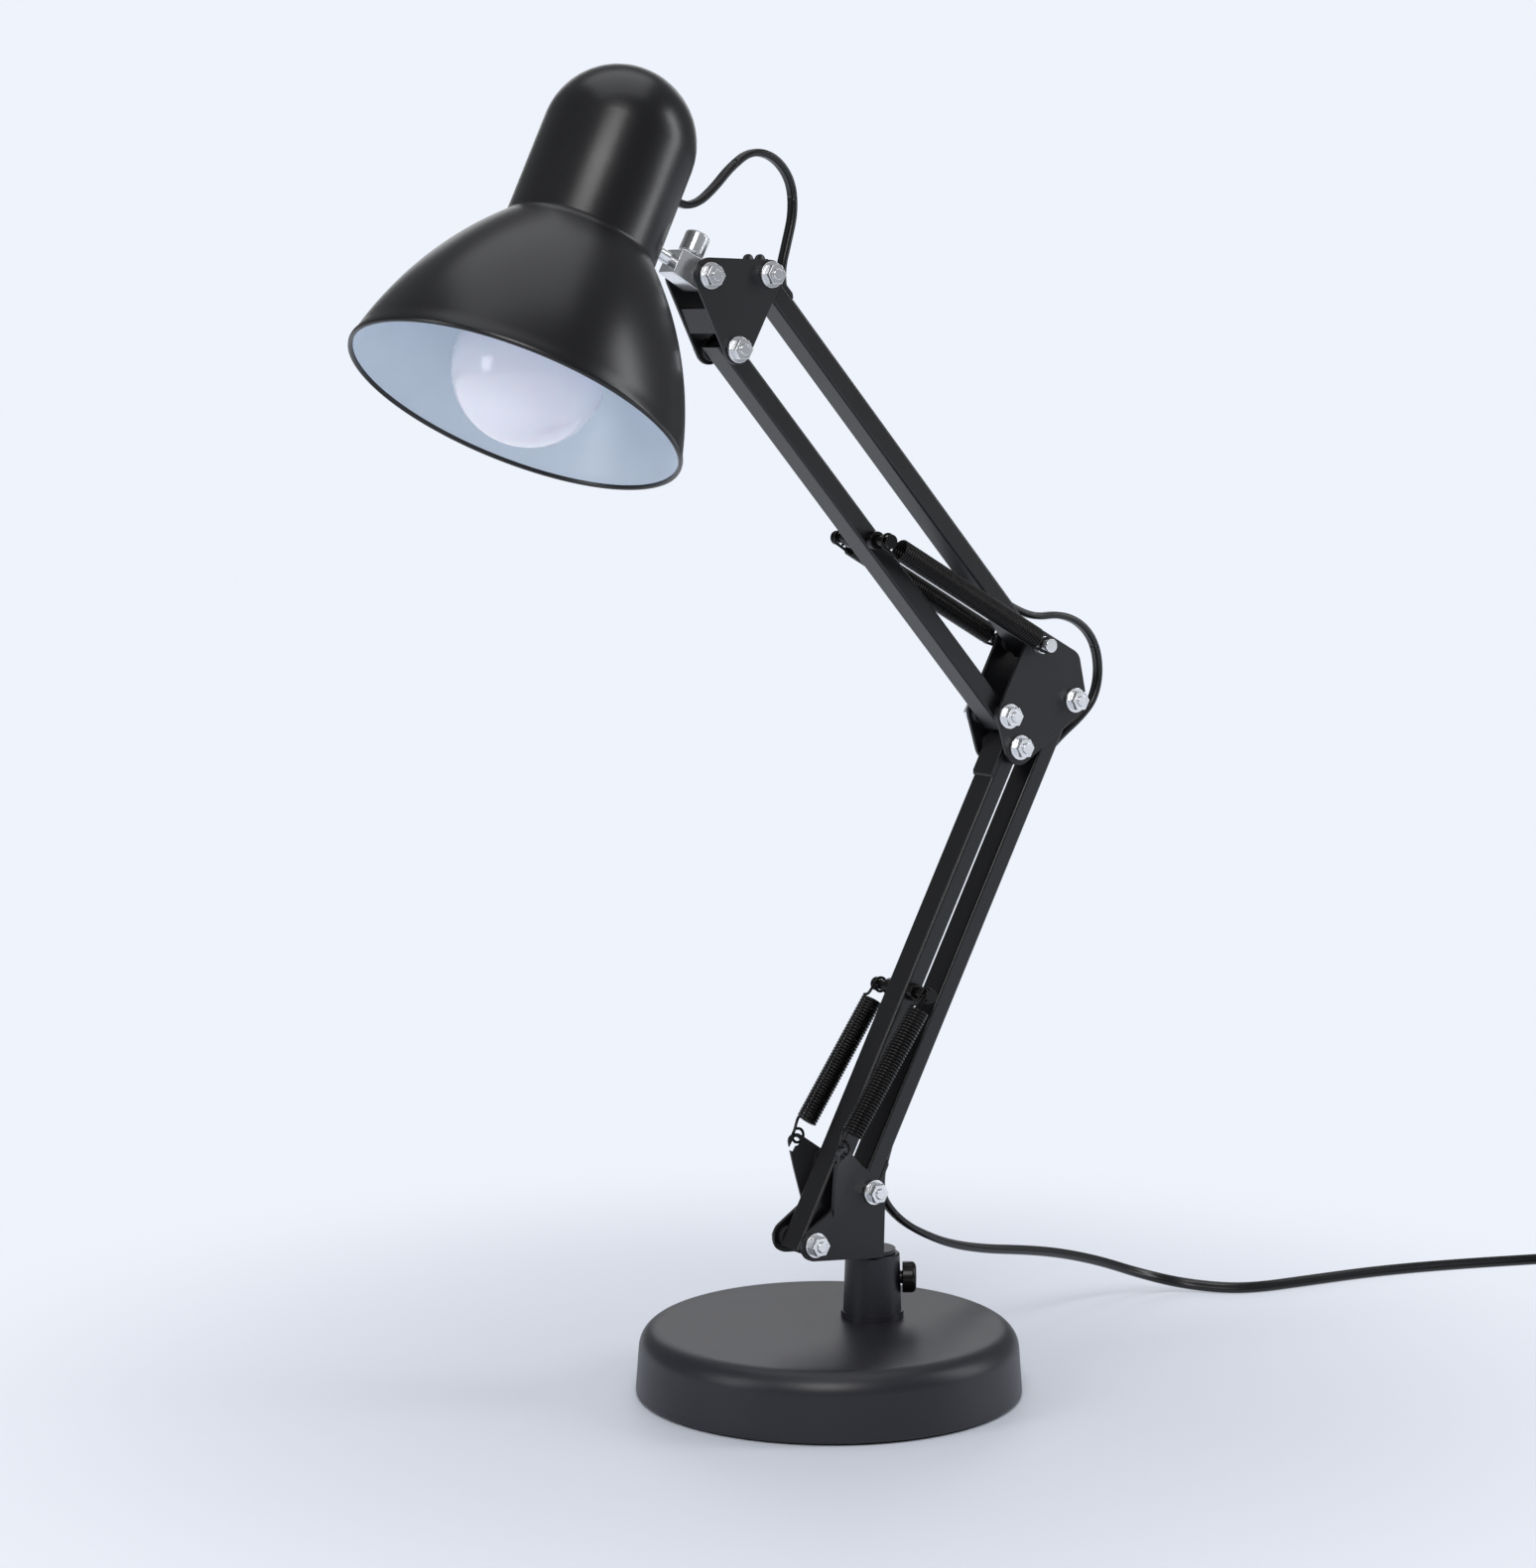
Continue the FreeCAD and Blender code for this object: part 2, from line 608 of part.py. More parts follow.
def ears(owner):
    """The spring ears: tabs that lean out of the plates and end in open hooks."""
    base_point = numbers(EAR_FOLD)
    fold = (numbers(EAR_FOLD_TOP) - base_point).normalize()
    away = V(-fold.z, 0, fold.x)
    lean = FreeCAD.Rotation(fold, ear_tilt())
    out = lean.multVec(away)
    normal = fold.cross(out)
    frame = FreeCAD.Matrix(fold.x, out.x, normal.x, 0, fold.y, out.y, normal.y, 0,
                           fold.z, out.z, normal.z, 0, 0, 0, 0, 1)
    start = base_point + V(0, -s.bracket_inside.value / 2, 0)
    world = FreeCAD.Placement(start, FreeCAD.Placement(frame).Rotation)
    flat = FreeCAD.Placement(V(), FreeCAD.Rotation(V(1, 0, 0), 90))
    turn = flat.inverse() * world
    ear = new_sketch(owner, "ear_outline", turn=turn)
    draw_lobes(ear, [
        (25.5, -1.2, 1.0), (s.ear_along, s.ear_out, s.hook_outer),
        (17.0, 9.4, 2.6), (3.0, -1.2, 1.0)])
    plate = pad(owner, ear, s.sheet, "Ear", back=normal.y > 0)
    hook = new_sketch(owner, "hook_bore", turn=turn)
    draw_circle(hook, s.ear_along, s.ear_out, s.hook_bore)
    bore = cut(owner, hook, 4 * s.sheet, "HookBore", both=True)
    mouth = new_sketch(owner, "hook_mouth", turn=turn)
    half = s.hook_mouth / 2
    draw_profile(mouth, [
        (s.ear_along - s.hook_outer - 1, s.ear_out - half + 0.4),
        (s.ear_along, s.ear_out - half + 0.4), (s.ear_along, s.ear_out + half + 0.4),
        (s.ear_along - s.hook_outer - 1, s.ear_out + half + 0.4)])
    opening = cut(owner, mouth, 4 * s.sheet, "HookMouth", both=True)
    mirror(owner, [plate, bore, opening], "FarEar")


def elbow_bracket():
    right = REAR_TOP[0] + 2.4
    web = [(right - s.sheet, REAR_TOP[1] + 7), (right, REAR_TOP[1] + 7),
           (right, REAR_TOP[1] + 15), (right - s.sheet, REAR_TOP[1] + 15)]
    outline = [
        (FRONT_TOP[0], FRONT_TOP[1], 7.0), (REAR_TOP[0], REAR_TOP[1], 6.0),
        (REAR_TOP[0] - 3.2, REAR_TOP[1] + 14.5, 6.0), (TOP_ROOT[0], TOP_ROOT[1], 5.8),
        (UNDER_ROOT[0], UNDER_ROOT[1], 5.5)]
    bracket("elbow_bracket", outline, [FRONT_TOP, REAR_TOP, TOP_ROOT, UNDER_ROOT], web)
    bracket_fasteners("elbow", [FRONT_TOP, REAR_TOP, UNDER_ROOT])


def head_bracket():
    slope = math.atan2(s.tilt_step_z.value, -s.tilt_step_x.value)
    lean = Size(math.degrees(slope), "(180 deg - atan(Sizes.tilt_step_z / Sizes.tilt_step_x))")
    web = [offset(UNDER_END, along, across, lean) for along, across in
           ((9, 4.2), (19, 4.2), (19, 4.2 + s.sheet), (9, 4.2 + s.sheet))]
    outline = [(UNDER_END[0], UNDER_END[1], 5.6), (TOP_END[0], TOP_END[1], 5.4),
               (TILT[0], TILT[1], 6.6)]
    bracket("head_bracket", outline, [UNDER_END, TOP_END, TILT], web)
    spacers = []
    spacer = s.bracket_inside / 2 - s.knuckle_width / 2 - 2 * s.side_gap
    for side, start in (("far", s.knuckle_width / 2 + s.side_gap),
                        ("near", -(s.bracket_inside / 2 - s.side_gap))):
        spacers.append(ring_y("tilt_spacer_" + side, TILT, start, spacer, 3.6, BORE_R))
    bracket_fasteners("head", [UNDER_END, TOP_END, TILT], spacers)


# ---------------------------------------------------------------- bars

def bar(label, foot, length, angle, pin_at=None, slots=()):
    """A square-edged tube with a pivot hole near each end. Its local X runs from foot to top."""
    owner = body(label, foot, arm_turn(angle))
    section = new_sketch(owner, label + "_section", "YZ_Plane", -s.bar_tail)
    for shrink in (as_size(0), s.bar_wall):
        half_w = HALF_BAR - shrink
        half_d = s.bar_depth / 2 - shrink
        corner = s.bar_corner - shrink / 2
        draw_lobes(section, [(sx * (half_w - corner), sz * (half_d - corner), corner)
                             for sx, sz in ((1, -1), (1, 1), (-1, 1), (-1, -1))])
    pad(owner, section, length + 2 * s.bar_tail, "Tube")
    holes = new_sketch(owner, label + "_holes")
    for at in (as_size(0), length):
        draw_circle(holes, at, 0, PIVOT_R + s.bush_wall + 0.04)
    if pin_at is not None:
        draw_circle(holes, pin_at, 0, PIVOT_R + 0.04)
    cut(owner, holes, s.bar_width + 2, "Pivots", both=True)
    for i, (start, end) in enumerate(slots):
        slot = new_sketch(owner, "%s_slot_%d" % (label, i), "XY_Plane")
        half = s.cord_slot_width / 2
        draw_lobes(slot, [(end - 1, half - 1, 1), (start + 1, half - 1, 1),
                          (start + 1, 1 - half, 1), (end - 1, 1 - half, 1)])
        cut(owner, slot, s.bar_depth, "Slot%d" % i)
    return owner


def arms():
    bar("front_bar", FRONT_FOOT, s.arm_lower, s.lower_angle, s.lower_pin_at)
    bushes("front_bar_bushes", [(FRONT_FOOT, 0), (FRONT_TOP, s.open_play)])
    bar("rear_bar", REAR_FOOT, s.arm_lower, s.lower_angle, slots=[
        (s.relief_in - 3, s.relief_in + s.cord_slot),
        (s.arm_lower - s.cord_slot - 12, s.arm_lower - 10)])
    bushes("rear_bar_bushes", [(REAR_FOOT, 0), (REAR_TOP, 0)])
    bar("under_bar", UNDER_ROOT, s.arm_upper, s.upper_angle, s.upper_pin_at)
    bushes("under_bar_bushes", [(UNDER_ROOT, 0), (UNDER_END, s.open_play)])
    bar("top_bar", TOP_ROOT, s.arm_upper, s.upper_angle, slots=[
        (as_size(7), s.cord_slot + 7), (s.arm_upper - s.cord_slot - 8, s.arm_upper - 7)])
    bushes("top_bar_bushes", [(TOP_ROOT, 0), (TOP_END, 0)])
    spring_pin("lower_spring_pin", LOWER_PIN, HALF_BAR + s.side_gap)
    spring_pin("upper_spring_pin", UPPER_PIN, HALF_BAR + s.side_gap)
    spring_pin("elbow_spring_pin", TOP_ROOT, PLATE_OUT + s.side_gap)


# ---------------------------------------------------------------- wound forms

def biarc(p0, t0, p1, t1):
    """Two arcs that leave p0 along t0 and reach p1 along t1."""
    gap = p1 - p0
    both = t0 + t1
    a = 2 * (1 - t0.dot(t1))
    b = 2 * gap.dot(both)
    reach = gap.dot(gap)
    if abs(a) < 1e-9:
        d = reach / b
    else:
        d = (-b + math.sqrt(b * b + 4 * a * reach)) / (2 * a)
    knee0 = p0 + t0 * d
    knee1 = p1 - t1 * d
    joint = (knee0 + knee1) / 2
    return [arc_from(p0, t0, joint), arc_from(joint, knee1 - knee0, p1)]


def arc_from(start, way, end):
    """The arc that leaves start along way and ends at end, or a line where it is straight."""
    way = V(way).normalize()
    chord = end - start
    across = chord - way * chord.dot(way)
    if across.Length < 1e-6 * chord.Length:
        return Part.LineSegment(start, end).toShape()
    side = V(across).normalize()
    radius = chord.dot(chord) / (2 * across.Length)
    centre = start + side * radius
    half = math.atan2(across.Length, chord.dot(way))
    middle = centre - side * radius * math.cos(half) + way * radius * math.sin(half)
    return Part.Arc(start, middle, end).toShape()


def wound(points, ways):
    edges = []
    for i in range(len(points) - 1):
        edges += biarc(points[i], ways[i], points[i + 1], ways[i + 1])
    return edges


def pipe(edges, radius):
    """One unbroken round tube along edges that join smoothly."""
    path = Part.Wire(edges)
    first = edges[0]
    start = first.valueAt(first.FirstParameter)
    way = first.tangentAt(first.FirstParameter)
    ring = Part.Wire([Part.Circle(start, way, radius).toShape()])
    tube = path.makePipeShell([ring], True, False)
    return tube if tube.ShapeType == "Solid" else Part.Solid(tube)


def least_gap(edges, radius, step=0.35):
    """The least gap of a tube to itself, measured on points along its centre line."""
    points = []
    for edge in edges:
        count = max(2, int(edge.Length / step))
        points += edge.discretize(count)[:-1]
    apart = int(math.ceil(6 * radius / step))
    cells = {}
    size = 8 * radius
    for i, p in enumerate(points):
        cells.setdefault((int(p.x // size), int(p.y // size), int(p.z // size)), []).append(i)
    least = 1e9
    for (cx, cy, cz), members in cells.items():
        near = [j for dx in (-1, 0, 1) for dy in (-1, 0, 1) for dz in (-1, 0, 1)
                for j in cells.get((cx + dx, cy + dy, cz + dz), ())]
        for i in members:
            for j in near:
                if j - i > apart:
                    least = min(least, points[i].distanceToPoint(points[j]))
    return least - 2 * radius


def feature(label, shape, place=None):
    made = doc.addObject("Part::Feature", label)
    made.Label = label
    made.Shape = shape
    if place:
        made.Placement = place
    NODES.append(made)
    return made


def end_hook(loop, shank, turn):
    """Points and ways from a coil's last point, round the end loop, in the coil's end frame."""
    lean = math.radians(200)
    spots = [(V(loop, 0, shank), V(0, 0, 1)), (V(0, 0, shank + loop), V(-1, 0, 0)),
             (V(-loop, 0, shank), V(0, 0, -1)),
             (V(loop * math.cos(lean + 0.7), 0, shank + loop * math.sin(lean + 0.7)),
              V(-math.sin(lean + 0.7), 0, math.cos(lean + 0.7)))]
    about = FreeCAD.Rotation(V(0, 0, 1), turn)
    return [(about.multVec(p), about.multVec(w)) for p, w in spots]


def spring(label, start, end, side, start_turn):
    """A pull spring between two loop centres. Its loops lie across the pins that they hang on."""
    mean = (s.spring_dia.value - s.spring_wire.value) / 2
    wire = s.spring_wire.value / 2
    loop = s.pivot_dia.value / 2 + s.loop_play.value + wire
    shank = s.spring_shank.value
    span = (end - start).Length
    length = span - 2 * shank
    first = math.radians(90 - start_turn)
    turns = SPRING_TURNS + (180 + start_turn) / 360
    quarter = math.pi / 2
    count = int(round(turns * 4))
    climb = length / (turns * 2 * math.pi)
    coil = []
    for i in range(count + 1):
        angle = first + i * quarter
        point = V(mean * math.cos(angle), mean * math.sin(angle), shank + climb * i * quarter)
        way = V(-mean * math.sin(angle), mean * math.cos(angle), climb).normalize()
        coil.append((point, way))
    flip = FreeCAD.Rotation(V(1, 0, 0), 180)
    hook = end_hook(loop, shank, start_turn)
    head = [(flip.multVec(p) + V(0, 0, shank), -flip.multVec(w)) for p, w in reversed(hook)]
    tail = [(p + V(0, 0, shank + length), w) for p, w in end_hook(loop, shank, 0)]
    route = head + coil + tail
    edges = wound([p for p, w in route], [w for p, w in route])
    print("%s: %.2f curls, least gap %.2f mm, length %.1f mm"
          % (label, turns, least_gap(edges, wire), sum(e.Length for e in edges)))
    shape = pipe(edges, wire)
    way = (end - start).normalize()
    across = V(0, 1, 0)
    frame = FreeCAD.Matrix(across.cross(way).x, across.x, way.x, 0,
                           across.cross(way).y, across.y, way.y, 0,
                           across.cross(way).z, across.z, way.z, 0, 0, 0, 0, 1)
    turn = FreeCAD.Placement(frame).Rotation
    return feature(label, shape, FreeCAD.Placement(start + V(0, side, 0), turn))


def hook_ring():
    """The middle of the near ear's hook, seen in the arm's plane."""
    base_point = numbers(EAR_FOLD)
    fold = (numbers(EAR_FOLD_TOP) - base_point).normalize()
    away = V(-fold.z, 0, fold.x)
    shown = s.ear_out.value * math.cos(math.radians(ear_tilt()))
    return base_point + fold * s.ear_along.value + away * shown


def springs():
    ring = hook_ring()
    pull = (numbers(LOWER_PIN) - ring).normalize()
    bar_of_hook = (s.hook_outer.value + s.hook_bore.value) / 2
    anchor = ring + pull * bar_of_hook
    side = s.spring_side.value
    for name, y in (("near", -side), ("far", side)):
        spring("lower_spring_" + name, anchor, numbers(LOWER_PIN), y, 90)
        spring("upper_spring_" + name, numbers(TOP_ROOT), numbers(UPPER_PIN), y, 0)


# ---------------------------------------------------------------- knuckle and shade

def knuckle():
    owner = body("knuckle", TILT, ROD_TURN)
    outline = new_sketch(owner, "knuckle_outline")
    front = s.knuckle_reach - 1
    draw_lobes(outline, [(0, 0, s.knuckle_radius), (front, 1 - s.knuckle_radius + 0.5, 1),
                         (front, s.knuckle_radius - 1.5, 1)])
    pad(owner, outline, s.knuckle_width, "Block", both=True)
    hole = new_sketch(owner, "tilt_hole")
    draw_circle(hole, 0, 0, BORE_R)
    cut(owner, hole, s.knuckle_width + 2, "TiltHole", both=True)
    drill(owner, "RodBore", s.rod_dia / 2 + s.running_fit, s.knuckle_reach,
          (s.rod_start - 0.2, 0, 0), FreeCAD.Rotation(V(0, 1, 0), 90))
    drill(owner, "ThumbHole", s.thumb_stud_dia / 2 + s.running_fit, s.knuckle_radius + 2,
          (s.thumb_at, 0, 0), FreeCAD.Rotation())
    point = offset(TILT, s.thumb_at, 0, s.rod_angle)
    low = s.rod_dia / 2 + 0.1
    seat = s.knuckle_radius + 0.3
    outer = s.thumb_dia / 2
    stud = s.thumb_stud_dia / 2
    turned("thumb_nut", [(0, low), (stud, low), (stud, seat), (outer - 0.6, seat),
                         (outer, seat + 0.6), (outer, seat + s.thumb_height - 0.8),
                         (outer - 0.8, seat + s.thumb_height), (0, seat + s.thumb_height)],
           point, ROD_TURN)


def rod():
    """The rod from the knuckle into the shade's neck, with its shoulder and its nut."""
    radius = s.rod_dia / 2
    outer = s.rod_reach - s.neck_dia / 2
    inner = outer + s.shade_wall
    collar = s.rod_nut_dia / 2
    along = ROD_TURN * FreeCAD.Rotation(V(0, 1, 0), 90)
    turned("shade_rod", [
        (0, s.rod_start), (radius, s.rod_start), (radius, outer - 2.4), (collar, outer - 2.4),
        (collar, outer - 0.3), (radius, outer - 0.3), (radius, inner + s.rod_nut_height + 1.2),
        (0, inner + s.rod_nut_height + 1.2)], TILT, along)
    turned("rod_nut", [
        (radius + 0.03, inner + 0.4), (collar, inner + 0.4),
        (collar, inner + 0.4 + s.rod_nut_height), (radius + 0.03, inner + 0.4 + s.rod_nut_height)],
        TILT, along)


IN_SHADE = FreeCAD.Placement(numbers(NECK) - SHADE_TURN.multVec(V(0, 0, s.rod_height.value)),
                             SHADE_TURN)


def in_shade(owner):
    """Stands a piece on the shade's own axis, with its zero at the rim."""
    owner.Placement = IN_SHADE
    return owner


def shade():
    neck = s.neck_dia / 2
    rim = s.rim_dia / 2
    wall = s.shade_wall
    crown = s.dome_start + neck
    owner = in_shade(turned("shade_shell", [
        (rim, 0), (neck, s.neck_start, s.bell_radius), (neck, s.dome_start),
        (0, crown, neck), (0, crown - wall), (neck - wall, s.dome_start, -(neck - wall)),
        (neck - wall, s.neck_start - 0.5), (rim - wall, 0, -(s.bell_radius - wall))]))
    outward = FreeCAD.Rotation(V(0, 1, 0), 90)
    back = SHADE_TURN.inverted().multVec(-ROD_WAY)
    from_axis = neck - 5
    drill(owner, "RodHole", s.rod_dia / 2 + 0.1, 8,
          (from_axis * back.x, from_axis * back.y, s.rod_height + from_axis * back.z),
          FreeCAD.Rotation(V(0, 0, 1), back))
    cord_up = s.rod_height + s.cord_hole_up
    drill(owner, "CordHole", s.grommet_dia / 2 - 1, 8, (neck - 5, 0, cord_up), outward)
    grommet = body("neck_grommet")
    ring = new_sketch(grommet, "grommet_profile")
    bore = CORD_R + 0.1
    sleeve = s.grommet_dia / 2 - 1.1
    lip = s.grommet_dia / 2
    draw_profile(ring, [
        (bore, neck - 2.2), (lip - 0.6, neck - 2.2), (lip - 0.6, neck - wall - 0.7),
        (sleeve, neck - wall - 0.7), (sleeve, neck + 0.05), (lip, neck + 0.05),
        (lip, neck + 0.05 + s.grommet_lip), (bore, neck + 0.05 + s.grommet_lip)])
    made = grommet.newObject("PartDesign::Revolution", "grommet_turn")
    made.Profile = ring
    made.ReferenceAxis = (ring, ["V_Axis"])
    made.Angle = 360
    grommet.Placement = IN_SHADE * FreeCAD.Placement(V(0, 0, cord_up.value), outward)


def holder_and_bulb():
    outer = s.holder_dia / 2
    shoulder = s.rod_height + s.bridge_over_rod
    start = shoulder - s.holder_length
    bore = s.cap_dia / 2 + 0.4
    boss = s.holder_boss_dia / 2
    in_shade(turned("lamp_holder", [
        (bore, start), (outer, start), (outer, shoulder), (boss, shoulder),
        (boss, shoulder + s.holder_boss), (0, shoulder + s.holder_boss),
        (0, start + s.cap_depth), (bore, start + s.cap_depth)]))
    bridge = s.neck_dia / 2 - s.shade_wall - s.bridge_gap
    in_shade(turned("holder_bridge", [
        (boss + 0.05, shoulder), (bridge, shoulder), (bridge, shoulder + s.sheet),
        (boss + 0.05, shoulder + s.sheet)]))
    ring_low = shoulder + s.sheet
    in_shade(turned("holder_ring_nut", [
        (boss + 0.05, ring_low), (s.ring_nut_dia / 2, ring_low),
        (s.ring_nut_dia / 2, ring_low + s.ring_nut_height),
        (boss + 0.05, ring_low + s.ring_nut_height)]))
    ball = s.bulb_dia / 2
    centre = s.bulb_centre
    lift = s.bulb_neck_at - centre
    mouth_value = math.sqrt(ball.value ** 2 - lift.value ** 2)
    mouth = Size(mouth_value, "sqrt(%s * %s - %s * %s)"
                 % (ball.formula, ball.formula, lift.formula, lift.formula))
    glass = s.glass_wall
    in_shade(turned("bulb_globe", [
        (0, centre - ball), (ball, centre, ball), (mouth, s.bulb_neck_at, ball),
        (mouth - glass - 0.4, s.bulb_neck_at), (ball - glass, centre, -(ball - glass)),
        (0, centre - ball + glass, -(ball - glass))]))
    cap = s.cap_dia / 2
    neck_end = start - 0.5
    in_shade(turned("bulb_collar", [
        (0, s.bulb_neck_at), (mouth, s.bulb_neck_at), (cap + 1, neck_end), (0, neck_end)]))
    in_shade(turned("bulb_cap", [
        (0, neck_end), (cap, neck_end), (cap, start + s.cap_depth - 3.5),
        (4.5, start + s.cap_depth - 1.2), (4.5, start + s.cap_depth - 0.4),
        (0, start + s.cap_depth - 0.4)]))


# ---------------------------------------------------------------- mains lead

def tube_along(label, points, radius):
    """A tube of straight runs joined by tangent arcs."""
    edges = []
    at = points[0]
    radii = []
    for i in range(1, len(points) - 1):
        corner = points[i]
        into = corner - points[i - 1]
        out = points[i + 1] - corner
        half = into.getAngle(out) / 2
        reach = 0.45 * min(into.Length, out.Length)
        radii.append(reach / math.tan(half))
        enter = corner - V(into).normalize() * reach
        leave = corner + V(out).normalize() * reach
        if enter.distanceToPoint(at) > 1e-6:
            edges.append(Part.LineSegment(at, enter).toShape())
        edges.append(arc_from(enter, into, leave))
        at = leave
    edges.append(Part.LineSegment(at, points[-1]).toShape())
    tube = pipe(edges, radius)
    length = sum(e.Length for e in edges)
    section = math.pi * radius * radius
    print("%s: length %.0f mm, volume/section*length %.4f, least radius %.1f mm, radii %s"
          % (label, length, tube.Volume / section / length, min(radii or [0]),
             " ".join("%.0f" % r for r in radii)))
    return tube


def coil_solid():
    """Two layers of loops: a spiral in on the floor, a climb at its heart and a spiral out on top."""
    radius = CORD_R.value
    pitch = s.coil_pitch.value
    inner = s.coil_inner.value
    rise = s.coil_rise.value
    slope = pitch / (2 * math.pi)
    reversal = inner + pitch / 4
    outer = reversal + pitch * COIL_TURNS
    begin = math.radians(s.coil_start.value)
    points = []
    ways = []

    def put(swept, r, z, spread, climb):
        angle = begin - swept
        points.append(V(r * math.cos(angle), r * math.sin(angle), z))
        ways.append(V(spread * math.cos(angle) + r * math.sin(angle),
                      spread * math.sin(angle) - r * math.cos(angle), climb).normalize())

    for i in range(2 * COIL_TURNS + 1):
        put(i * math.pi, outer - slope * i * math.pi, radius, -slope, 0)
    swept = 2 * COIL_TURNS * math.pi
    put(swept + math.pi / 2, inner, radius + rise / 2, 0, 1.5 * rise / math.pi)
    swept += math.pi
    half_turn = math.pi * (1 - s.coil_short.value / COIL_TURNS)
    for i in range(2 * COIL_TURNS + 1):
        put(swept + i * half_turn, reversal + slope * i * half_turn, radius + rise, slope, 0)
    straight = s.cord_dia.value
    first = Part.LineSegment(points[0] - ways[0] * straight, points[0]).toShape()
    last = Part.LineSegment(points[-1], points[-1] + ways[-1] * straight).toShape()
    edges = [first] + wound(points, ways) + [last]
    middle = V(s.coil_x.value, s.coil_y.value, 0)
    print("cord_coil: %d loops, least gap %.2f mm, length %.0f mm, outer radius %.1f mm"
          % (2 * COIL_TURNS, least_gap(edges, radius), sum(e.Length for e in edges), outer))
    feature("cord_coil", pipe(edges, radius), FreeCAD.Placement(middle, FreeCAD.Rotation()))
    return (points[0] - ways[0] * straight + middle, ways[0],
            points[-1] + ways[-1] * straight + middle, ways[-1])


def relief_places():
    """The mouth of the strain relief, its top inside the bar, and the way from top to mouth."""
    mouth = offset(REAR_FOOT, s.relief_in, -s.relief_out, s.lower_angle)
    way = arm_turn(s.lower_angle + s.relief_lean).multVec(V(-1, 0, 0))
    return numbers(mouth), numbers(mouth) - way * s.relief_length.value, way


def relief():
    mouth, top, way = relief_places()
    turn = FreeCAD.Rotation(V(0, 0, 1), way)
    owner = turned("cord_relief", [
        (0, 0), (CORD_R, 0), (CORD_R, s.relief_length * 0.2),
        (s.relief_dia / 2, s.relief_length * 0.42), (s.relief_dia / 2, s.relief_length * 0.6),
        (CORD_R + 0.15, s.relief_length), (0, s.relief_length)])
    owner.Placement = FreeCAD.Placement(top, turn)
    return mouth, top, way


def route(points):
    return [V(x, y, z) for x, y, z in points]


FLOOR_Z = s.cord_dia.value / 2


def mains_lead():
    mouth, top, way = relief()
    # The free stretch: out of the relief, down to the table and out past the picture's edge.
    free = [mouth, mouth + way * 6.5] + route([
        (25.9, 0.0, 72.6), (31.0, 0.6, 66.4), (38.5, 1.8, 60.4), (48.5, 3.6, 54.8),
        (65.5, 8.0, 47.2), (88.8, 15.0, 40.4), (117.0, 24.0, 34.2), (144.0, 33.0, 27.2),
        (172.0, 40.5, 18.2), (196.0, 43.5, 8.8), (213.0, 37.0, 3.2), (225.0, 22.5, FLOOR_Z),
        (238.0, 14.5, FLOOR_Z), (262.0, 11.0, FLOOR_Z), (300.0, 5.5, FLOOR_Z),
        (336.0, -5.5, FLOOR_Z)])
    start, start_way, end, end_way = coil_solid()
    lead_in = [start - start_way * s.cord_dia.value * 6, start]
    feature("cord_tail", tube_along("cord_tail", free + lead_in, CORD_R.value))
    cord_end(end, end_way)
    elbow_loop()
    head_loop()
    inner_cords(top)


def flat_box(label, size, place):
    """A rounded box that lies along its local X, flat on its underside."""
    owner = body(label)
    length, width, low, high, corner = size
    outline = new_sketch(owner, label + "_outline", "XY_Plane", low)
    half = width / 2
    draw_lobes(outline, [(x, y, corner) for x, y in (
        (length - corner, corner - half), (length - corner, half - corner),
        (corner, half - corner), (corner, corner - half))])
    pad(owner, outline, high - low, "Block")
    owner.Placement = place
    return owner


def hand_switch(place):
    """The inline switch: two cases with a rocker in the upper one."""
    split = s.switch_height * 0.45
    case = (s.switch_length, s.switch_width)
    corner = as_size(8)
    flat_box("switch_lower_case", case + (as_size(0), split, corner), place)
    upper = flat_box("switch_upper_case", case + (split + 0.1, s.switch_height, corner), place)
    middle = s.switch_length / 2
    slot = s.rocker_length / 2 + 0.4
    well = new_sketch(upper, "rocker_well", "XY_Plane", s.switch_height)
    draw_box(well, middle - slot, -5.4, middle + slot, 5.4)
    cut(upper, well, s.switch_height - split - 2.5, "RockerWell")
    rocker = body("switch_rocker")
    face = new_sketch(rocker, "rocker_outline")
    half = s.rocker_length / 2
    draw_profile(face, [(1.5 - half, -3.6), (half - 1.5, -3.6), (half, 1.2), (0, 0.2), (-half, 2.2)])
    pad(rocker, face, 10, "Rocker", both=True)
    seat = V(middle.value, 0, s.switch_height.value - 0.6)
    rocker.Placement = place * FreeCAD.Placement(seat, FreeCAD.Rotation())


def cord_end(start, way):
    """After the coil: a short stretch, the hand switch, another stretch and the plug."""
    step = way * s.cord_dia.value
    flat = FreeCAD.Rotation(V(1, 0, 0), way)
    lead_z = s.switch_height.value / 2
    enter = start + step * 6
    enter.z = lead_z
    hand_switch(FreeCAD.Placement(V(enter.x, enter.y, 0), flat))
    leave = enter + way * s.switch_length.value
    fall = V(0, 0, s.plug_height.value / 2 - lead_z)
    first = [start, start + step * 2, enter - step * 1.2, enter]
    second = [leave, leave + step * 2, leave + step * 4 + fall, leave + step * 6 + fall]
    tubes = [tube_along("cord_end, to the switch", first, CORD_R.value),
             tube_along("cord_end, to the plug", second, CORD_R.value)]
    feature("cord_end", Part.makeCompound(tubes))
    plug(second[-1], flat)


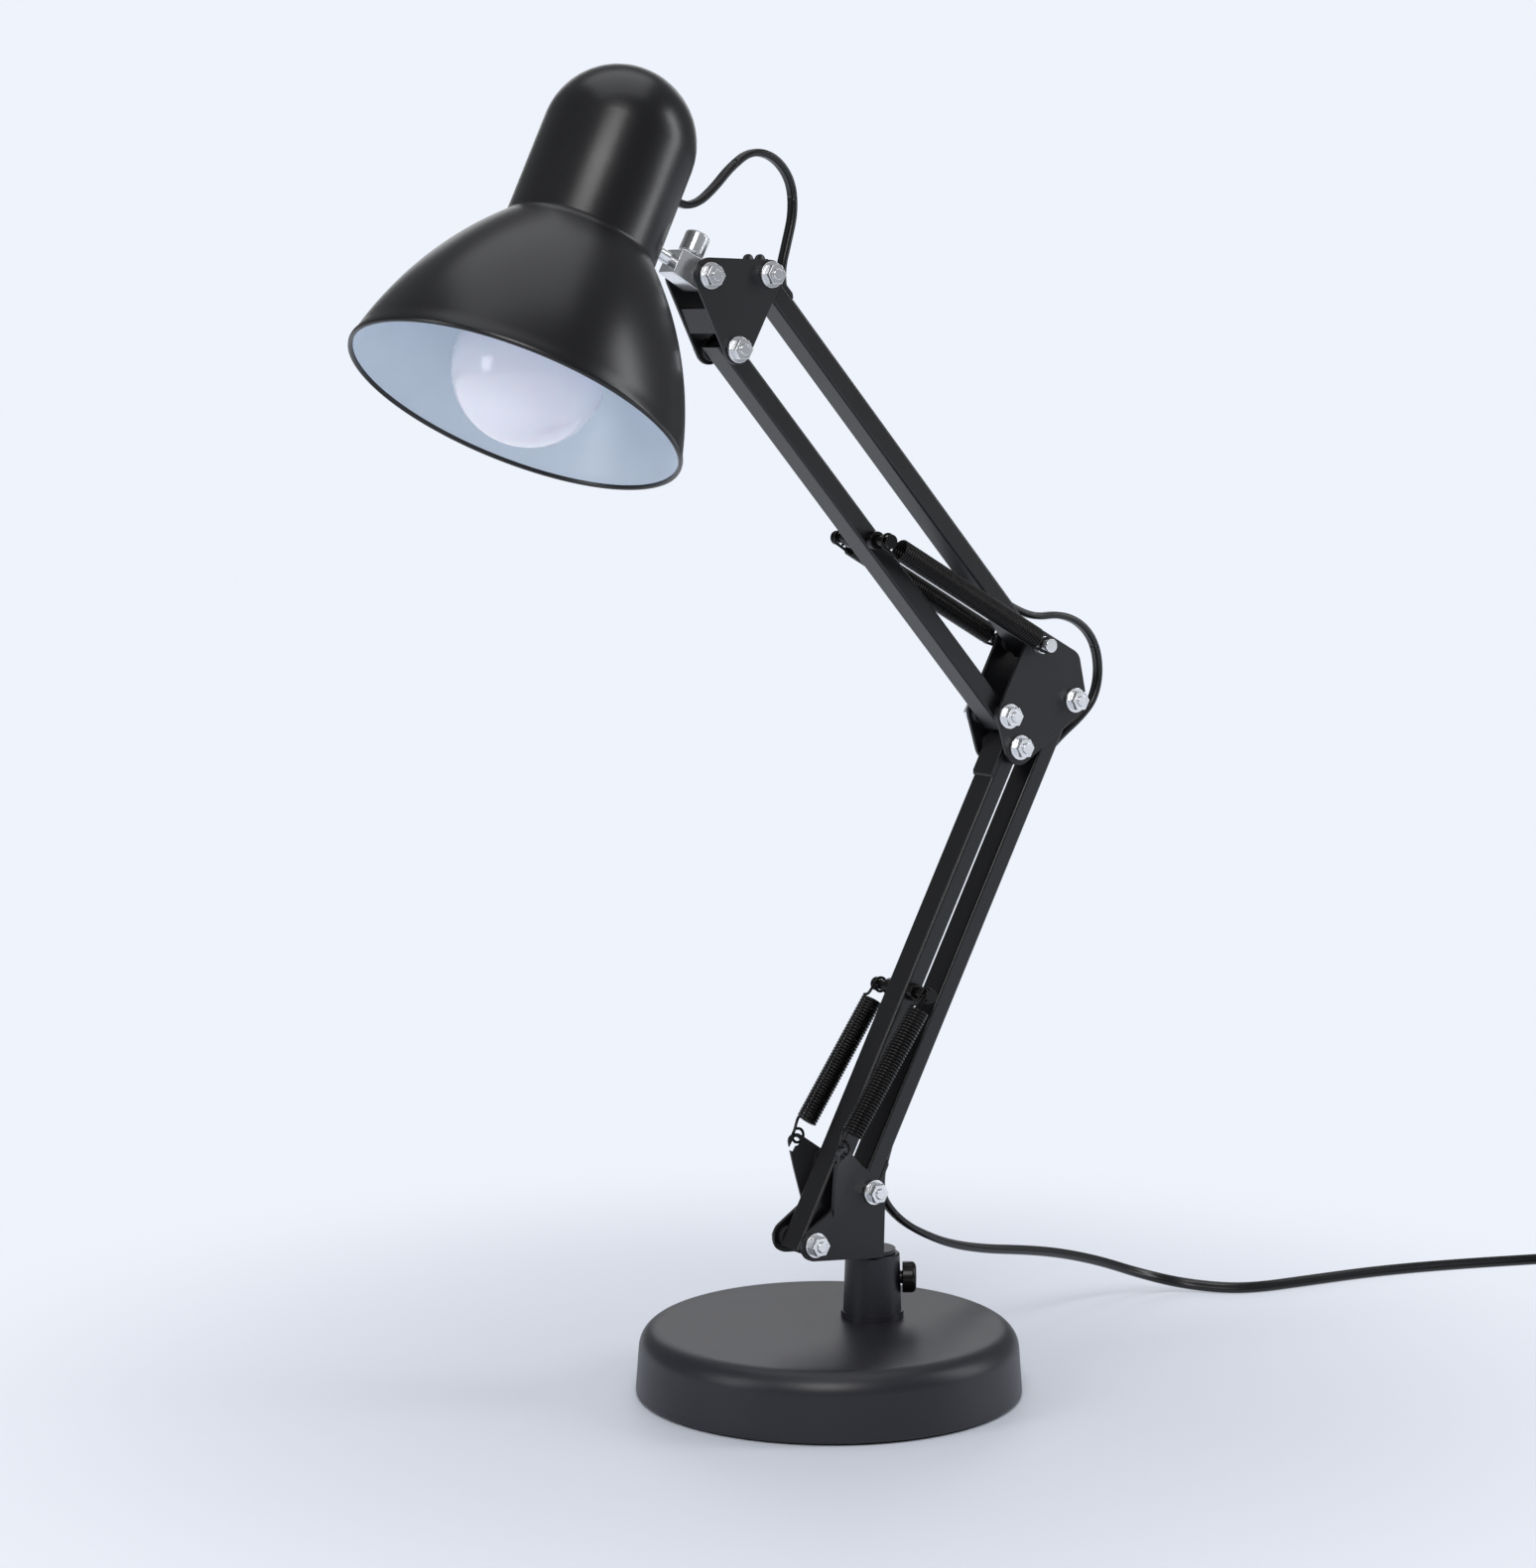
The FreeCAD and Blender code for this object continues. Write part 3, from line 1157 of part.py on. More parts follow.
def plug(at, flat):
    owner = body("plug_body")
    length = s.plug_length
    half = s.plug_width / 2
    neck = CORD_R + 1.6
    outline = new_sketch(owner, "plug_outline", "XY_Plane", -(s.plug_height / 2))
    draw_lobes(outline, [(1, -neck, 1), (length - 1.5, 1.5 - half, 1.5),
                         (length - 1.5, half - 1.5, 1.5), (1, neck, 1)])
    pad(owner, outline, s.plug_height, "Body")
    holes = new_sketch(owner, "pin_holes", "YZ_Plane", length)
    shift = s.plug_pin_pitch / 2
    for sign in (1, -1):
        draw_circle(holes, sign * shift, 0, s.plug_pin_dia / 2 + 0.03)
    cut(owner, holes, 8, "PinHoles")
    owner.Placement = FreeCAD.Placement(at, flat)
    pins = []
    for sign in (1, -1):
        pin = doc.addObject("Part::Cylinder", "plug_pin_%d" % (sign > 0))
        pin.setExpression("Radius", (s.plug_pin_dia / 2).formula)
        pin.setExpression("Height", (s.plug_pin_length + 7.5).formula)
        pin.Placement = FreeCAD.Placement(at, flat) * FreeCAD.Placement(
            V(length.value - 7.5, sign * shift.value, 0), FreeCAD.Rotation(V(0, 1, 0), 90))
        pins.append(pin)
    group("plug_pins", pins)


def on_bar(foot, angle, along, across):
    return numbers(offset(foot, as_size(along), as_size(across), angle))


def elbow_loop():
    """The slack loop behind the elbow, from the upper bar's slot to the rear bar's slot."""
    points = [on_bar(TOP_ROOT, s.upper_angle, at, across)
              for at, across in ((46, 0), (40, 0), (27, -1.4))]
    points += route([(87.5, 0, 301.4), (99.5, 0, 296.8), (112.5, 0, 297.6), (123.6, 0, 293.6),
                     (131.0, 0, 285.4), (133.4, 0, 273.4), (130.6, 0, 262.6),
                     (123.4, 0, 255.6), (112.6, 0, 248.6)])
    points += [on_bar(REAR_TOP, s.lower_angle, at, across)
               for at, across in ((-28, -1.6), (-42, 0), (-48, 0))]
    feature("elbow_cord_loop", tube_along("elbow_cord_loop", points, CORD_R.value))


def head_loop():
    """The slack loop over the head, from the top bar's slot into the shade's neck."""
    boss = s.holder_boss_dia.value / 2
    up = s.rod_height.value + s.cord_hole_up.value
    inside = [IN_SHADE.multVec(V(r, 0, up)) for r in (32.4, boss)]
    points = [on_bar(TOP_END, s.upper_angle, at, across)
              for at, across in ((-46, 0), (-40, 0), (-27, -1.4))]
    points += route([(-21.4, 0, 419.0), (-23.6, 0, 430.4), (-20.4, 0, 441.6), (-17.4, 0, 453.0),
                     (-18.6, 0, 464.6), (-26.2, 0, 473.0), (-36.6, 0, 474.8), (-45.8, 0, 468.6),
                     (-53.4, 0, 460.6), (-60.8, 0, 454.8)])
    points += inside
    feature("head_cord_loop", tube_along("head_cord_loop", points, CORD_R.value))


def inner_cords(relief_top):
    """The straight stretches inside the two bars that carry the lead."""
    way = relief_places()[2]
    low = [relief_top, relief_top - way * 5, on_bar(REAR_FOOT, s.lower_angle, 50, 0),
           on_bar(REAR_TOP, s.lower_angle, -48, 0)]
    feature("rear_bar_cord", tube_along("rear_bar_cord", low, CORD_R.value))
    ends = [on_bar(TOP_ROOT, s.upper_angle, 46, 0), on_bar(TOP_END, s.upper_angle, -46, 0)]
    feature("top_bar_cord", tube_along("top_bar_cord", ends, CORD_R.value))


# ---------------------------------------------------------------- build

def check_and_write():
    doc.recompute()
    for made in doc.Objects:
        bad = [state for state in made.State if state in ("Invalid", "Error")]
        if bad:
            raise RuntimeError("%s (%s) is %s" % (made.Label, made.TypeId, bad))
    os.makedirs("parts", exist_ok=True)
    for node in NODES:
        shape = node.Shape
        if shape.isNull() or not shape.isValid() or not shape.Solids:
            raise RuntimeError("%s has no valid solid" % node.Label)
    for node in NODES:
        node.Shape.exportStep("parts/%s.step" % node.Label)
    print("%d nodes, %d solids" % (len(NODES), sum(len(n.Shape.Solids) for n in NODES)))


base()
post()
swivel()
lower_bracket()
bracket_fasteners("lower", [FRONT_FOOT, REAR_FOOT])
arms()
elbow_bracket()
head_bracket()
springs()
knuckle()
rod()
shade()
holder_and_bulb()
mains_lead()
check_and_write()
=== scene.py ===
"""Looks of the desk lamp: paint, plating, springs, leads and bulb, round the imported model."""
import json
import math
import bmesh
import bpy
from mathutils import Matrix, Vector


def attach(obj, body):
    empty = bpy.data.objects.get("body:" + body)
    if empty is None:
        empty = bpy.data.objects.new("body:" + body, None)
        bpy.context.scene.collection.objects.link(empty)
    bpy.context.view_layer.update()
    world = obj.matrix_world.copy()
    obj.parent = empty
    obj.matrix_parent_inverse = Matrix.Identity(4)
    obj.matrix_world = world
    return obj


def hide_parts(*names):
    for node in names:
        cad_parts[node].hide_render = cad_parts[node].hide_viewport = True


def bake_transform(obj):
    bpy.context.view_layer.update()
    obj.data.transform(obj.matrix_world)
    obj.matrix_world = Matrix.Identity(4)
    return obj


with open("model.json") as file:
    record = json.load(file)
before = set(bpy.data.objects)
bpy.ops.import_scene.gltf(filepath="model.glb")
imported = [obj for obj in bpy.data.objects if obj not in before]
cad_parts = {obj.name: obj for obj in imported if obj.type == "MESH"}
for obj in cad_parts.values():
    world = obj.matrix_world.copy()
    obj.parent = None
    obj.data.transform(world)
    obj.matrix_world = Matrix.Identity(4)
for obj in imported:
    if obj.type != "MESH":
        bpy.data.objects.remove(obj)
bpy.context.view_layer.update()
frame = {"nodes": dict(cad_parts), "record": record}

MM = 0.001
NODE_SLOT = {row["node"]: row["material_slot"] for row in frame["record"]["subparts"]}


def mm(*numbers):
    """A point given in millimetres, in metres."""
    return Vector(numbers) * MM


def direction(angle):
    """A direction in the plane of the arms, from its angle above +X in degrees."""
    turn = math.radians(angle)
    return Vector((math.cos(turn), 0, math.sin(turn)))


# ---------------------------------------------------------------- places, as in the CAD

LOWER_ANGLE = 62.0
UPPER_ANGLE = 132.1
ROD_ANGLE = 152.5
LOWER_LENGTH = 210.0
UPPER_LENGTH = 192.0
LOWER_PIN_AT = 105.0
UPPER_PIN_AT = 95.0
ROD_REACH = 50.0
ROD_HEIGHT = 79.9       # of the rod's hole above the shade's rim
LEAD_HOLE_HEIGHT = 100.3
NECK_LEAN = 28.7
SHADE_SWIVEL = 5.9
FRONT_FOOT = mm(-13.7, 0, 61.5)
REAR_FOOT = FRONT_FOOT + mm(27.8, 0, 17.05)
FRONT_TOP = FRONT_FOOT + direction(LOWER_ANGLE) * LOWER_LENGTH * MM
REAR_TOP = REAR_FOOT + direction(LOWER_ANGLE) * LOWER_LENGTH * MM
UNDER_ROOT = FRONT_TOP + mm(-5.55, 0, 12.6)
TOP_ROOT = UNDER_ROOT + mm(14.8, 0, 27.4)
UNDER_END = UNDER_ROOT + direction(UPPER_ANGLE) * UPPER_LENGTH * MM
TOP_END = TOP_ROOT + direction(UPPER_ANGLE) * UPPER_LENGTH * MM
TILT = UNDER_END + mm(-12.3, 0, 26.75)
LOWER_PIN = FRONT_FOOT + direction(LOWER_ANGLE) * LOWER_PIN_AT * MM
UPPER_PIN = UNDER_ROOT + direction(UPPER_ANGLE) * UPPER_PIN_AT * MM
EAR_HOOK = mm(-3.97, 0, 98.66)
NECK = TILT + direction(ROD_ANGLE) * ROD_REACH * MM
SHADE_TURN = (Matrix.Rotation(math.radians(SHADE_SWIVEL), 4, direction(ROD_ANGLE))
              @ Matrix.Rotation(math.radians(NECK_LEAN), 4, "Y"))
IN_SHADE = Matrix.Translation(NECK) @ SHADE_TURN @ Matrix.Translation(mm(0, 0, -ROD_HEIGHT))


# ---------------------------------------------------------------- camera, light and table

CAMERA_PLACE = mm(-835.9, -1141.8, 406.2)
CAMERA_LOOK = Vector((0.5731, 0.8109, -0.1185)).normalized()
CAMERA_LENS = 87.56
BACKDROP = (0.855, 0.895, 0.975, 1)
TABLE_TONE = (0.80, 0.84, 0.93, 1)


def camera():
    data = bpy.data.cameras.new("camera")
    data.sensor_fit = "HORIZONTAL"
    data.sensor_width = 36
    data.lens = CAMERA_LENS
    data.clip_start = 0.05
    eye = bpy.data.objects.new("camera", data)
    bpy.context.scene.collection.objects.link(eye)
    eye.matrix_world = (Matrix.Translation(CAMERA_PLACE)
                        @ CAMERA_LOOK.to_track_quat("-Z", "Y").to_matrix().to_4x4())
    bpy.context.scene.camera = eye


def lamp(name, place, aim, size, power, tone=(1, 1, 1)):
    data = bpy.data.lights.new(name, "AREA")
    data.shape = "RECTANGLE"
    data.size, data.size_y = size
    data.energy = power
    data.color = tone
    light = bpy.data.objects.new(name, data)
    bpy.context.scene.collection.objects.link(light)
    way = (Vector(aim) - Vector(place)).normalized()
    light.matrix_world = (Matrix.Translation(place)
                          @ way.to_track_quat("-Z", "Y").to_matrix().to_4x4())
    light.visible_camera = False


def daylight():
    """Soft surrounding light, and a pale backdrop for the camera and through glass."""
    world = bpy.data.worlds.new("studio")
    world.use_nodes = True
    bpy.context.scene.world = world
    tree = world.node_tree
    tree.nodes.clear()
    out = tree.nodes.new("ShaderNodeOutputWorld")
    mix = tree.nodes.new("ShaderNodeMixShader")
    soft = tree.nodes.new("ShaderNodeBackground")
    seen = tree.nodes.new("ShaderNodeBackground")
    path = tree.nodes.new("ShaderNodeLightPath")
    glass = tree.nodes.new("ShaderNodeMath")
    glass.operation = "MAXIMUM"
    soft.inputs["Color"].default_value = (0.93, 0.95, 1.0, 1)
    soft.inputs["Strength"].default_value = 0.22
    seen.inputs["Color"].default_value = BACKDROP
    seen.inputs["Strength"].default_value = 1.0
    tree.links.new(path.outputs["Is Camera Ray"], glass.inputs[0])
    tree.links.new(path.outputs["Is Transmission Ray"], glass.inputs[1])
    tree.links.new(glass.outputs[0], mix.inputs["Fac"])
    tree.links.new(soft.outputs[0], mix.inputs[1])
    tree.links.new(seen.outputs[0], mix.inputs[2])
    tree.links.new(mix.outputs[0], out.inputs["Surface"])


def table_top():
    """A wide pale table that keeps the lamp's shadow and fades into the backdrop."""
    work = bmesh.new()
    bmesh.ops.create_circle(work, cap_ends=True, segments=96, radius=4.0)
    mesh = bpy.data.meshes.new("table_top")
    work.to_mesh(mesh)
    work.free()
    top = bpy.data.objects.new("table_top", mesh)
    bpy.context.scene.collection.objects.link(top)
    finish = bpy.data.materials.new("pale table")
    finish.use_nodes = True
    tree = finish.node_tree
    tree.nodes.clear()
    out = tree.nodes.new("ShaderNodeOutputMaterial")
    mix = tree.nodes.new("ShaderNodeMixShader")
    lit = tree.nodes.new("ShaderNodeBsdfPrincipled")
    plain = tree.nodes.new("ShaderNodeEmission")
    where = tree.nodes.new("ShaderNodeTexCoord")
    length = tree.nodes.new("ShaderNodeVectorMath")
    length.operation = "LENGTH"
    fade = tree.nodes.new("ShaderNodeMapRange")
    fade.interpolation_type = "SMOOTHSTEP"
    fade.inputs["From Min"].default_value = 0.10
    fade.inputs["From Max"].default_value = 0.42
    lit.inputs["Base Color"].default_value = TABLE_TONE
    lit.inputs["Roughness"].default_value = 0.55
    plain.inputs["Color"].default_value = BACKDROP
    tree.links.new(where.outputs["Object"], length.inputs[0])
    tree.links.new(length.outputs["Value"], fade.inputs["Value"])
    tree.links.new(fade.outputs["Result"], mix.inputs["Fac"])
    tree.links.new(lit.outputs[0], mix.inputs[1])
    tree.links.new(plain.outputs[0], mix.inputs[2])
    tree.links.new(mix.outputs[0], out.inputs["Surface"])
    mesh.materials.append(finish)


# ---------------------------------------------------------------- finishes

def add_sockets(tree, rows, way):
    for name, kind, value in rows:
        socket = tree.interface.new_socket(name=name, in_out=way, socket_type="NodeSocket" + kind)
        if value is not None:
            socket.default_value = value


def paint_film():
    """Paint or moulded plastic: slow tone changes, fine grain and a little settled dust."""
    tree = bpy.data.node_groups.new("Paint film", "ShaderNodeTree")
    add_sockets(tree, [("Paint", "Color", (0.02, 0.02, 0.02, 1)),
                       ("Dust", "Color", (0.2, 0.2, 0.22, 1)),
                       ("Dust amount", "Float", 0.02), ("Tone change", "Float", 0.1),
                       ("Roughness", "Float", 0.4), ("Roughness spread", "Float", 0.06),
                       ("Grain size", "Float", 900.0)], "INPUT")
    add_sockets(tree, [("Colour", "Color", None), ("Roughness", "Float", None),
                       ("Height", "Float", None)], "OUTPUT")
    new, link = tree.nodes.new, tree.links.new
    given, out = new("NodeGroupInput"), new("NodeGroupOutput")
    where, face = new("ShaderNodeTexCoord"), new("ShaderNodeNewGeometry")
    parts = new("ShaderNodeSeparateXYZ")
    slow, fine = new("ShaderNodeTexNoise"), new("ShaderNodeTexNoise")
    slow.inputs["Scale"].default_value = 38
    slow.inputs["Detail"].default_value = 5
    fine.inputs["Detail"].default_value = 2
    link(where.outputs["Object"], slow.inputs["Vector"])
    link(where.outputs["Object"], fine.inputs["Vector"])
    link(given.outputs["Grain size"], fine.inputs["Scale"])
    shade = new("ShaderNodeMapRange")
    shade.inputs["From Min"].default_value = 0.3
    shade.inputs["From Max"].default_value = 0.7
    link(slow.outputs["Fac"], shade.inputs["Value"])
    less, more = new("ShaderNodeMath"), new("ShaderNodeMath")
    less.operation, more.operation = "SUBTRACT", "ADD"
    less.inputs[0].default_value = more.inputs[0].default_value = 1.0
    link(given.outputs["Tone change"], less.inputs[1])
    link(given.outputs["Tone change"], more.inputs[1])
    link(less.outputs[0], shade.inputs["To Min"])
    link(more.outputs[0], shade.inputs["To Max"])
    tint = new("ShaderNodeVectorMath")
    tint.operation = "SCALE"
    link(given.outputs["Paint"], tint.inputs[0])
    link(shade.outputs["Result"], tint.inputs["Scale"])
    link(face.outputs["Normal"], parts.inputs[0])
    upward = new("ShaderNodeMapRange")
    upward.inputs["From Min"].default_value = 0.2
    upward.inputs["From Max"].default_value = 1.0
    link(parts.outputs["Z"], upward.inputs["Value"])
    settled = new("ShaderNodeMath")
    settled.operation = "MULTIPLY"
    link(upward.outputs["Result"], settled.inputs[0])
    link(slow.outputs["Fac"], settled.inputs[1])
    weight = new("ShaderNodeMath")
    weight.operation = "MULTIPLY"
    link(settled.outputs[0], weight.inputs[0])
    link(given.outputs["Dust amount"], weight.inputs[1])
    dusty = new("ShaderNodeMix")
    dusty.data_type = "RGBA"
    link(weight.outputs[0], dusty.inputs["Factor"])
    link(tint.outputs[0], dusty.inputs["A"])
    link(given.outputs["Dust"], dusty.inputs["B"])
    link(dusty.outputs["Result"], out.inputs["Colour"])
    centred = new("ShaderNodeMath")
    centred.operation = "SUBTRACT"
    centred.inputs[1].default_value = 0.5
    link(slow.outputs["Fac"], centred.inputs[0])
    rough = new("ShaderNodeMath")
    rough.operation = "MULTIPLY_ADD"
    link(centred.outputs[0], rough.inputs[0])
    link(given.outputs["Roughness spread"], rough.inputs[1])
    link(given.outputs["Roughness"], rough.inputs[2])
    link(rough.outputs[0], out.inputs["Roughness"])
    link(fine.outputs["Fac"], out.inputs["Height"])
    return tree


def bright_plating():
    """Plated or drawn metal: faint brush lines along one axis and cloudy tarnish."""
    tree = bpy.data.node_groups.new("Bright plating", "ShaderNodeTree")
    add_sockets(tree, [("Metal", "Color", (0.8, 0.8, 0.82, 1)),
                       ("Tarnish", "Color", (0.4, 0.4, 0.4, 1)),
                       ("Tarnish amount", "Float", 0.3), ("Roughness", "Float", 0.2),
                       ("Stretch", "Vector", (450.0, 900.0, 450.0))], "INPUT")
    add_sockets(tree, [("Colour", "Color", None), ("Roughness", "Float", None),
                       ("Height", "Float", None)], "OUTPUT")
    new, link = tree.nodes.new, tree.links.new
    given, out, where = new("NodeGroupInput"), new("NodeGroupOutput"), new("ShaderNodeTexCoord")
    stretched = new("ShaderNodeVectorMath")
    stretched.operation = "MULTIPLY"
    link(where.outputs["Object"], stretched.inputs[0])
    link(given.outputs["Stretch"], stretched.inputs[1])
    lines, cloud = new("ShaderNodeTexNoise"), new("ShaderNodeTexNoise")
    lines.inputs["Scale"].default_value = 1.0
    cloud.inputs["Scale"].default_value = 160
    cloud.inputs["Detail"].default_value = 4
    link(stretched.outputs[0], lines.inputs["Vector"])
    link(where.outputs["Object"], cloud.inputs["Vector"])
    patch = new("ShaderNodeMapRange")
    patch.inputs["From Min"].default_value = 0.42
    patch.inputs["From Max"].default_value = 0.7
    link(cloud.outputs["Fac"], patch.inputs["Value"])
    amount = new("ShaderNodeMath")
    amount.operation = "MULTIPLY"
    link(patch.outputs["Result"], amount.inputs[0])
    link(given.outputs["Tarnish amount"], amount.inputs[1])
    mixed = new("ShaderNodeMix")
    mixed.data_type = "RGBA"
    link(amount.outputs[0], mixed.inputs["Factor"])
    link(given.outputs["Metal"], mixed.inputs["A"])
    link(given.outputs["Tarnish"], mixed.inputs["B"])
    link(mixed.outputs["Result"], out.inputs["Colour"])
    rough = new("ShaderNodeMath")
    rough.operation = "MULTIPLY_ADD"
    rough.inputs[1].default_value = 0.25
    link(amount.outputs[0], rough.inputs[0])
    link(given.outputs["Roughness"], rough.inputs[2])
    link(rough.outputs[0], out.inputs["Roughness"])
    link(lines.outputs["Fac"], out.inputs["Height"])
    return tree


def finish_of(name, group, given, bump, shader=()):
    """A material: one surface group feeds a Principled shader, whose other sockets are plain."""
    material = bpy.data.materials.new(name)
    material.use_nodes = True
    tree = material.node_tree
    surface = tree.nodes["Principled BSDF"]
    place = tree.nodes.new("ShaderNodeGroup")
    place.node_tree = group
    for socket, value in given.items():
        place.inputs[socket].default_value = value
    raised = tree.nodes.new("ShaderNodeBump")
    raised.inputs["Strength"].default_value = bump[0]
    raised.inputs["Distance"].default_value = bump[1]
    tree.links.new(place.outputs["Colour"], surface.inputs["Base Color"])
    tree.links.new(place.outputs["Roughness"], surface.inputs["Roughness"])
    tree.links.new(place.outputs["Height"], raised.inputs["Height"])
    tree.links.new(raised.outputs["Normal"], surface.inputs["Normal"])
    for socket, value in dict(shader).items():
        surface.inputs[socket].default_value = value
    return material


def rgb(red, green, blue):
    return (red, green, blue, 1)


def finishes():
    film = paint_film()
    plate = bright_plating()

    def paint(name, tone, rough, dust=0.02, change=0.12, grain=900.0, bump=(0.08, 0.0002),
              **shader):
        given = {"Paint": rgb(*tone), "Dust amount": dust, "Tone change": change,
                 "Roughness": rough, "Grain size": grain}
        sockets = {label.replace("_", " "): value for label, value in shader.items()}
        return finish_of(name, film, given, bump, sockets)

    def metal(name, tone, tarnish, amount, rough, bump=(0.1, 0.0001)):
        given = {"Metal": rgb(*tone), "Tarnish": rgb(*tarnish), "Tarnish amount": amount,
                 "Roughness": rough}
        return finish_of(name, plate, given, bump, {"Metallic": 0.8})

    return {
        "base": paint("charcoal base paint", (0.012, 0.0125, 0.018), 0.40, 0.025, 0.08, 1400.0,
                      (0.12, 0.0002)),
        "shade": paint("satin black shade paint", (0.0040, 0.0040, 0.0052), 0.30, 0.004, 0.1),
        "enamel": paint("pale enamel", (0.74, 0.82, 0.90), 0.32, 0.0, 0.03, 500.0),
        "arm": paint("black arm paint", (0.0045, 0.0045, 0.0055), 0.34, 0.006, 0.15),
        "bracket": paint("black bracket paint", (0.0035, 0.0037, 0.0052), 0.40, 0.004, 0.12),
        "spring": paint("oiled black spring wire", (0.008, 0.0075, 0.0075), 0.26, 0.01, 0.3,
                        bump=(0.05, 0.0001), Metallic=0.6),
        "vinyl": paint("black vinyl lead", (0.0055, 0.0055, 0.0065), 0.32, 0.01, 0.15),
        "rubber": paint("black rubber", (0.012, 0.012, 0.012), 0.7, 0.05, 0.2),
        "plastic": paint("black moulded plastic", (0.011, 0.011, 0.012), 0.36, 0.04, 0.1, 1200.0),
        "nylon": paint("black nylon", (0.014, 0.014, 0.015), 0.5, 0.02, 0.1),
        "holder": paint("dark lamp holder", (0.03, 0.028, 0.027), 0.45, 0.02, 0.15),
        "iron": paint("rough cast iron", (0.05, 0.05, 0.05), 0.8, 0.1, 0.3, 300.0, (0.4, 0.0008)),
        "opal": paint("opal bulb", (0.86, 0.87, 0.98), 0.16, 0.0, 0.01, 300.0, (0.02, 0.0001),
                      Subsurface_Weight=0.25, Coat_Weight=0.3),
        "collar": paint("white bulb collar", (0.75, 0.76, 0.80), 0.3, 0.0, 0.02),
        "zinc": metal("bright zinc", (0.86, 0.87, 0.89), (0.55, 0.56, 0.58), 0.25, 0.17,
                      (0.02, 0.00005)),
        "steel": metal("drawn steel", (0.55, 0.56, 0.58), (0.3, 0.3, 0.31), 0.5, 0.28),
        "brass": metal("plug brass", (0.78, 0.62, 0.33), (0.4, 0.3, 0.15), 0.4, 0.22),
        "cap": metal("bulb cap aluminium", (0.78, 0.78, 0.79), (0.5, 0.5, 0.5), 0.4, 0.25),
    }


# ---------------------------------------------------------------- making pieces

def piece(name, mesh, *materials):
    for material in materials:
        mesh.materials.append(material)
    made = bpy.data.objects.new(name, mesh)
    bpy.context.scene.collection.objects.link(made)
    return made


def settle(made, body, *nodes):
    """The piece rides on a body and stands for CAD nodes, which it hides."""
    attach(made, body)
    if nodes:
        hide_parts(*nodes)
    return made


BODY_OF = {node: body for body, nodes in frame["record"]["behaviour"]["bodies"].items()
           for node in nodes}


def soften(made, width, segments=2):
    """Rounds the sharp edges of a piece and shades it smoothly."""
    made.data.shade_smooth()
    edge = made.modifiers.new("rounded edges", "BEVEL")
    edge.width = width
    edge.segments = segments
    edge.limit_method = "ANGLE"
    edge.angle_limit = math.radians(38)
    edge.use_clamp_overlap = True
    even = made.modifiers.new("even shading", "WEIGHTED_NORMAL")
    even.keep_sharp = True
    return made


def merged_copy(node):
    """The node's triangles as one joined mesh, with flat faces whole again."""
    mesh = frame["nodes"][node].data.copy()
    mesh.materials.clear()
    work = bmesh.new()
    work.from_mesh(mesh)
    bmesh.ops.remove_doubles(work, verts=work.verts, dist=2e-6)
    bmesh.ops.dissolve_limit(work, angle_limit=math.radians(0.6), verts=work.verts,
                             edges=work.edges)
    work.to_mesh(mesh)
    work.free()
    return mesh


def dress(node, material, width=0.3):
    """A rigid CAD piece with its edges rounded and its own finish."""
    made = piece(node + "_dressed", merged_copy(node), material)
    soften(made, width * MM)
    return settle(made, BODY_OF[node], node)


def spin(name, profile, place, materials, segments=96):
    """A turned piece. A profile row is radius, height and the material of the face that follows."""
    work = bmesh.new()
    rings = []
    for radius, height, _ in profile:
        if radius < 1e-6:
            rings.append([work.verts.new((0, 0, height * MM))])
            continue
        ring = []
        for i in range(segments):
            turn = 2 * math.pi * i / segments
            ring.append(work.verts.new((radius * MM * math.cos(turn),
                                        radius * MM * math.sin(turn), height * MM)))
        rings.append(ring)
    for (low, high), row in zip(zip(rings, rings[1:]), profile):
        for i in range(segments):
            corners = [low[i % len(low)], low[(i + 1) % len(low)],
                       high[(i + 1) % len(high)], high[i % len(high)]]
            corners = list(dict.fromkeys(corners))
            if len(corners) < 3:
                continue
            face = work.faces.new(corners)
            face.material_index = row[2]
            face.smooth = True
    bmesh.ops.recalc_face_normals(work, faces=work.faces)
    mesh = bpy.data.meshes.new(name)
    work.to_mesh(mesh)
    work.free()
    mesh.transform(place)
    return piece(name, mesh, *materials)


def arc(middle, radius, start, end, count, material=0):
    """Profile rows on an arc about a point, from one angle to another in degrees."""
    rows = []
    for i in range(count + 1):
        turn = math.radians(start + (end - start) * i / count)
        rows.append((middle[0] + radius * math.cos(turn), middle[1] + radius * math.sin(turn),
                     material))
    return rows


# ---------------------------------------------------------------- leads

def smooth_line(route, fineness=10):
    """Points along one NURBS spline whose control points are the route, in millimetres."""
    curve = bpy.data.curves.new("route", "CURVE")
    curve.dimensions = "3D"
    curve.resolution_u = fineness
    spline = curve.splines.new("NURBS")
    spline.points.add(len(route) - 1)
    for control, place in zip(spline.points, route):
        control.co = (*mm(*place), 1)
    spline.order_u = 3
    spline.use_endpoint_u = True
    holder = bpy.data.objects.new("route", curve)
    mesh = bpy.data.meshes.new_from_object(holder)
    line = [v.co.copy() for v in mesh.vertices]
    bpy.data.objects.remove(holder)
    bpy.data.curves.remove(curve)
    bpy.data.meshes.remove(mesh)
    return [p for i, p in enumerate(line) if i == 0 or (p - line[i - 1]).length > 1e-6]


TWIN_WIDTH = 4.6
TWIN_THICK = 2.8


def twin_section():
    """The outline of a flat twin lead: two round cores side by side with a groove between them."""
    core = TWIN_THICK / 2
    shift = TWIN_WIDTH / 2 - core
    half = [(shift + core * math.cos(a), core * math.sin(a))
            for a in (math.radians(d) for d in range(-110, 111, 22))]
    return half + [(-x, -y) for x, y in half]


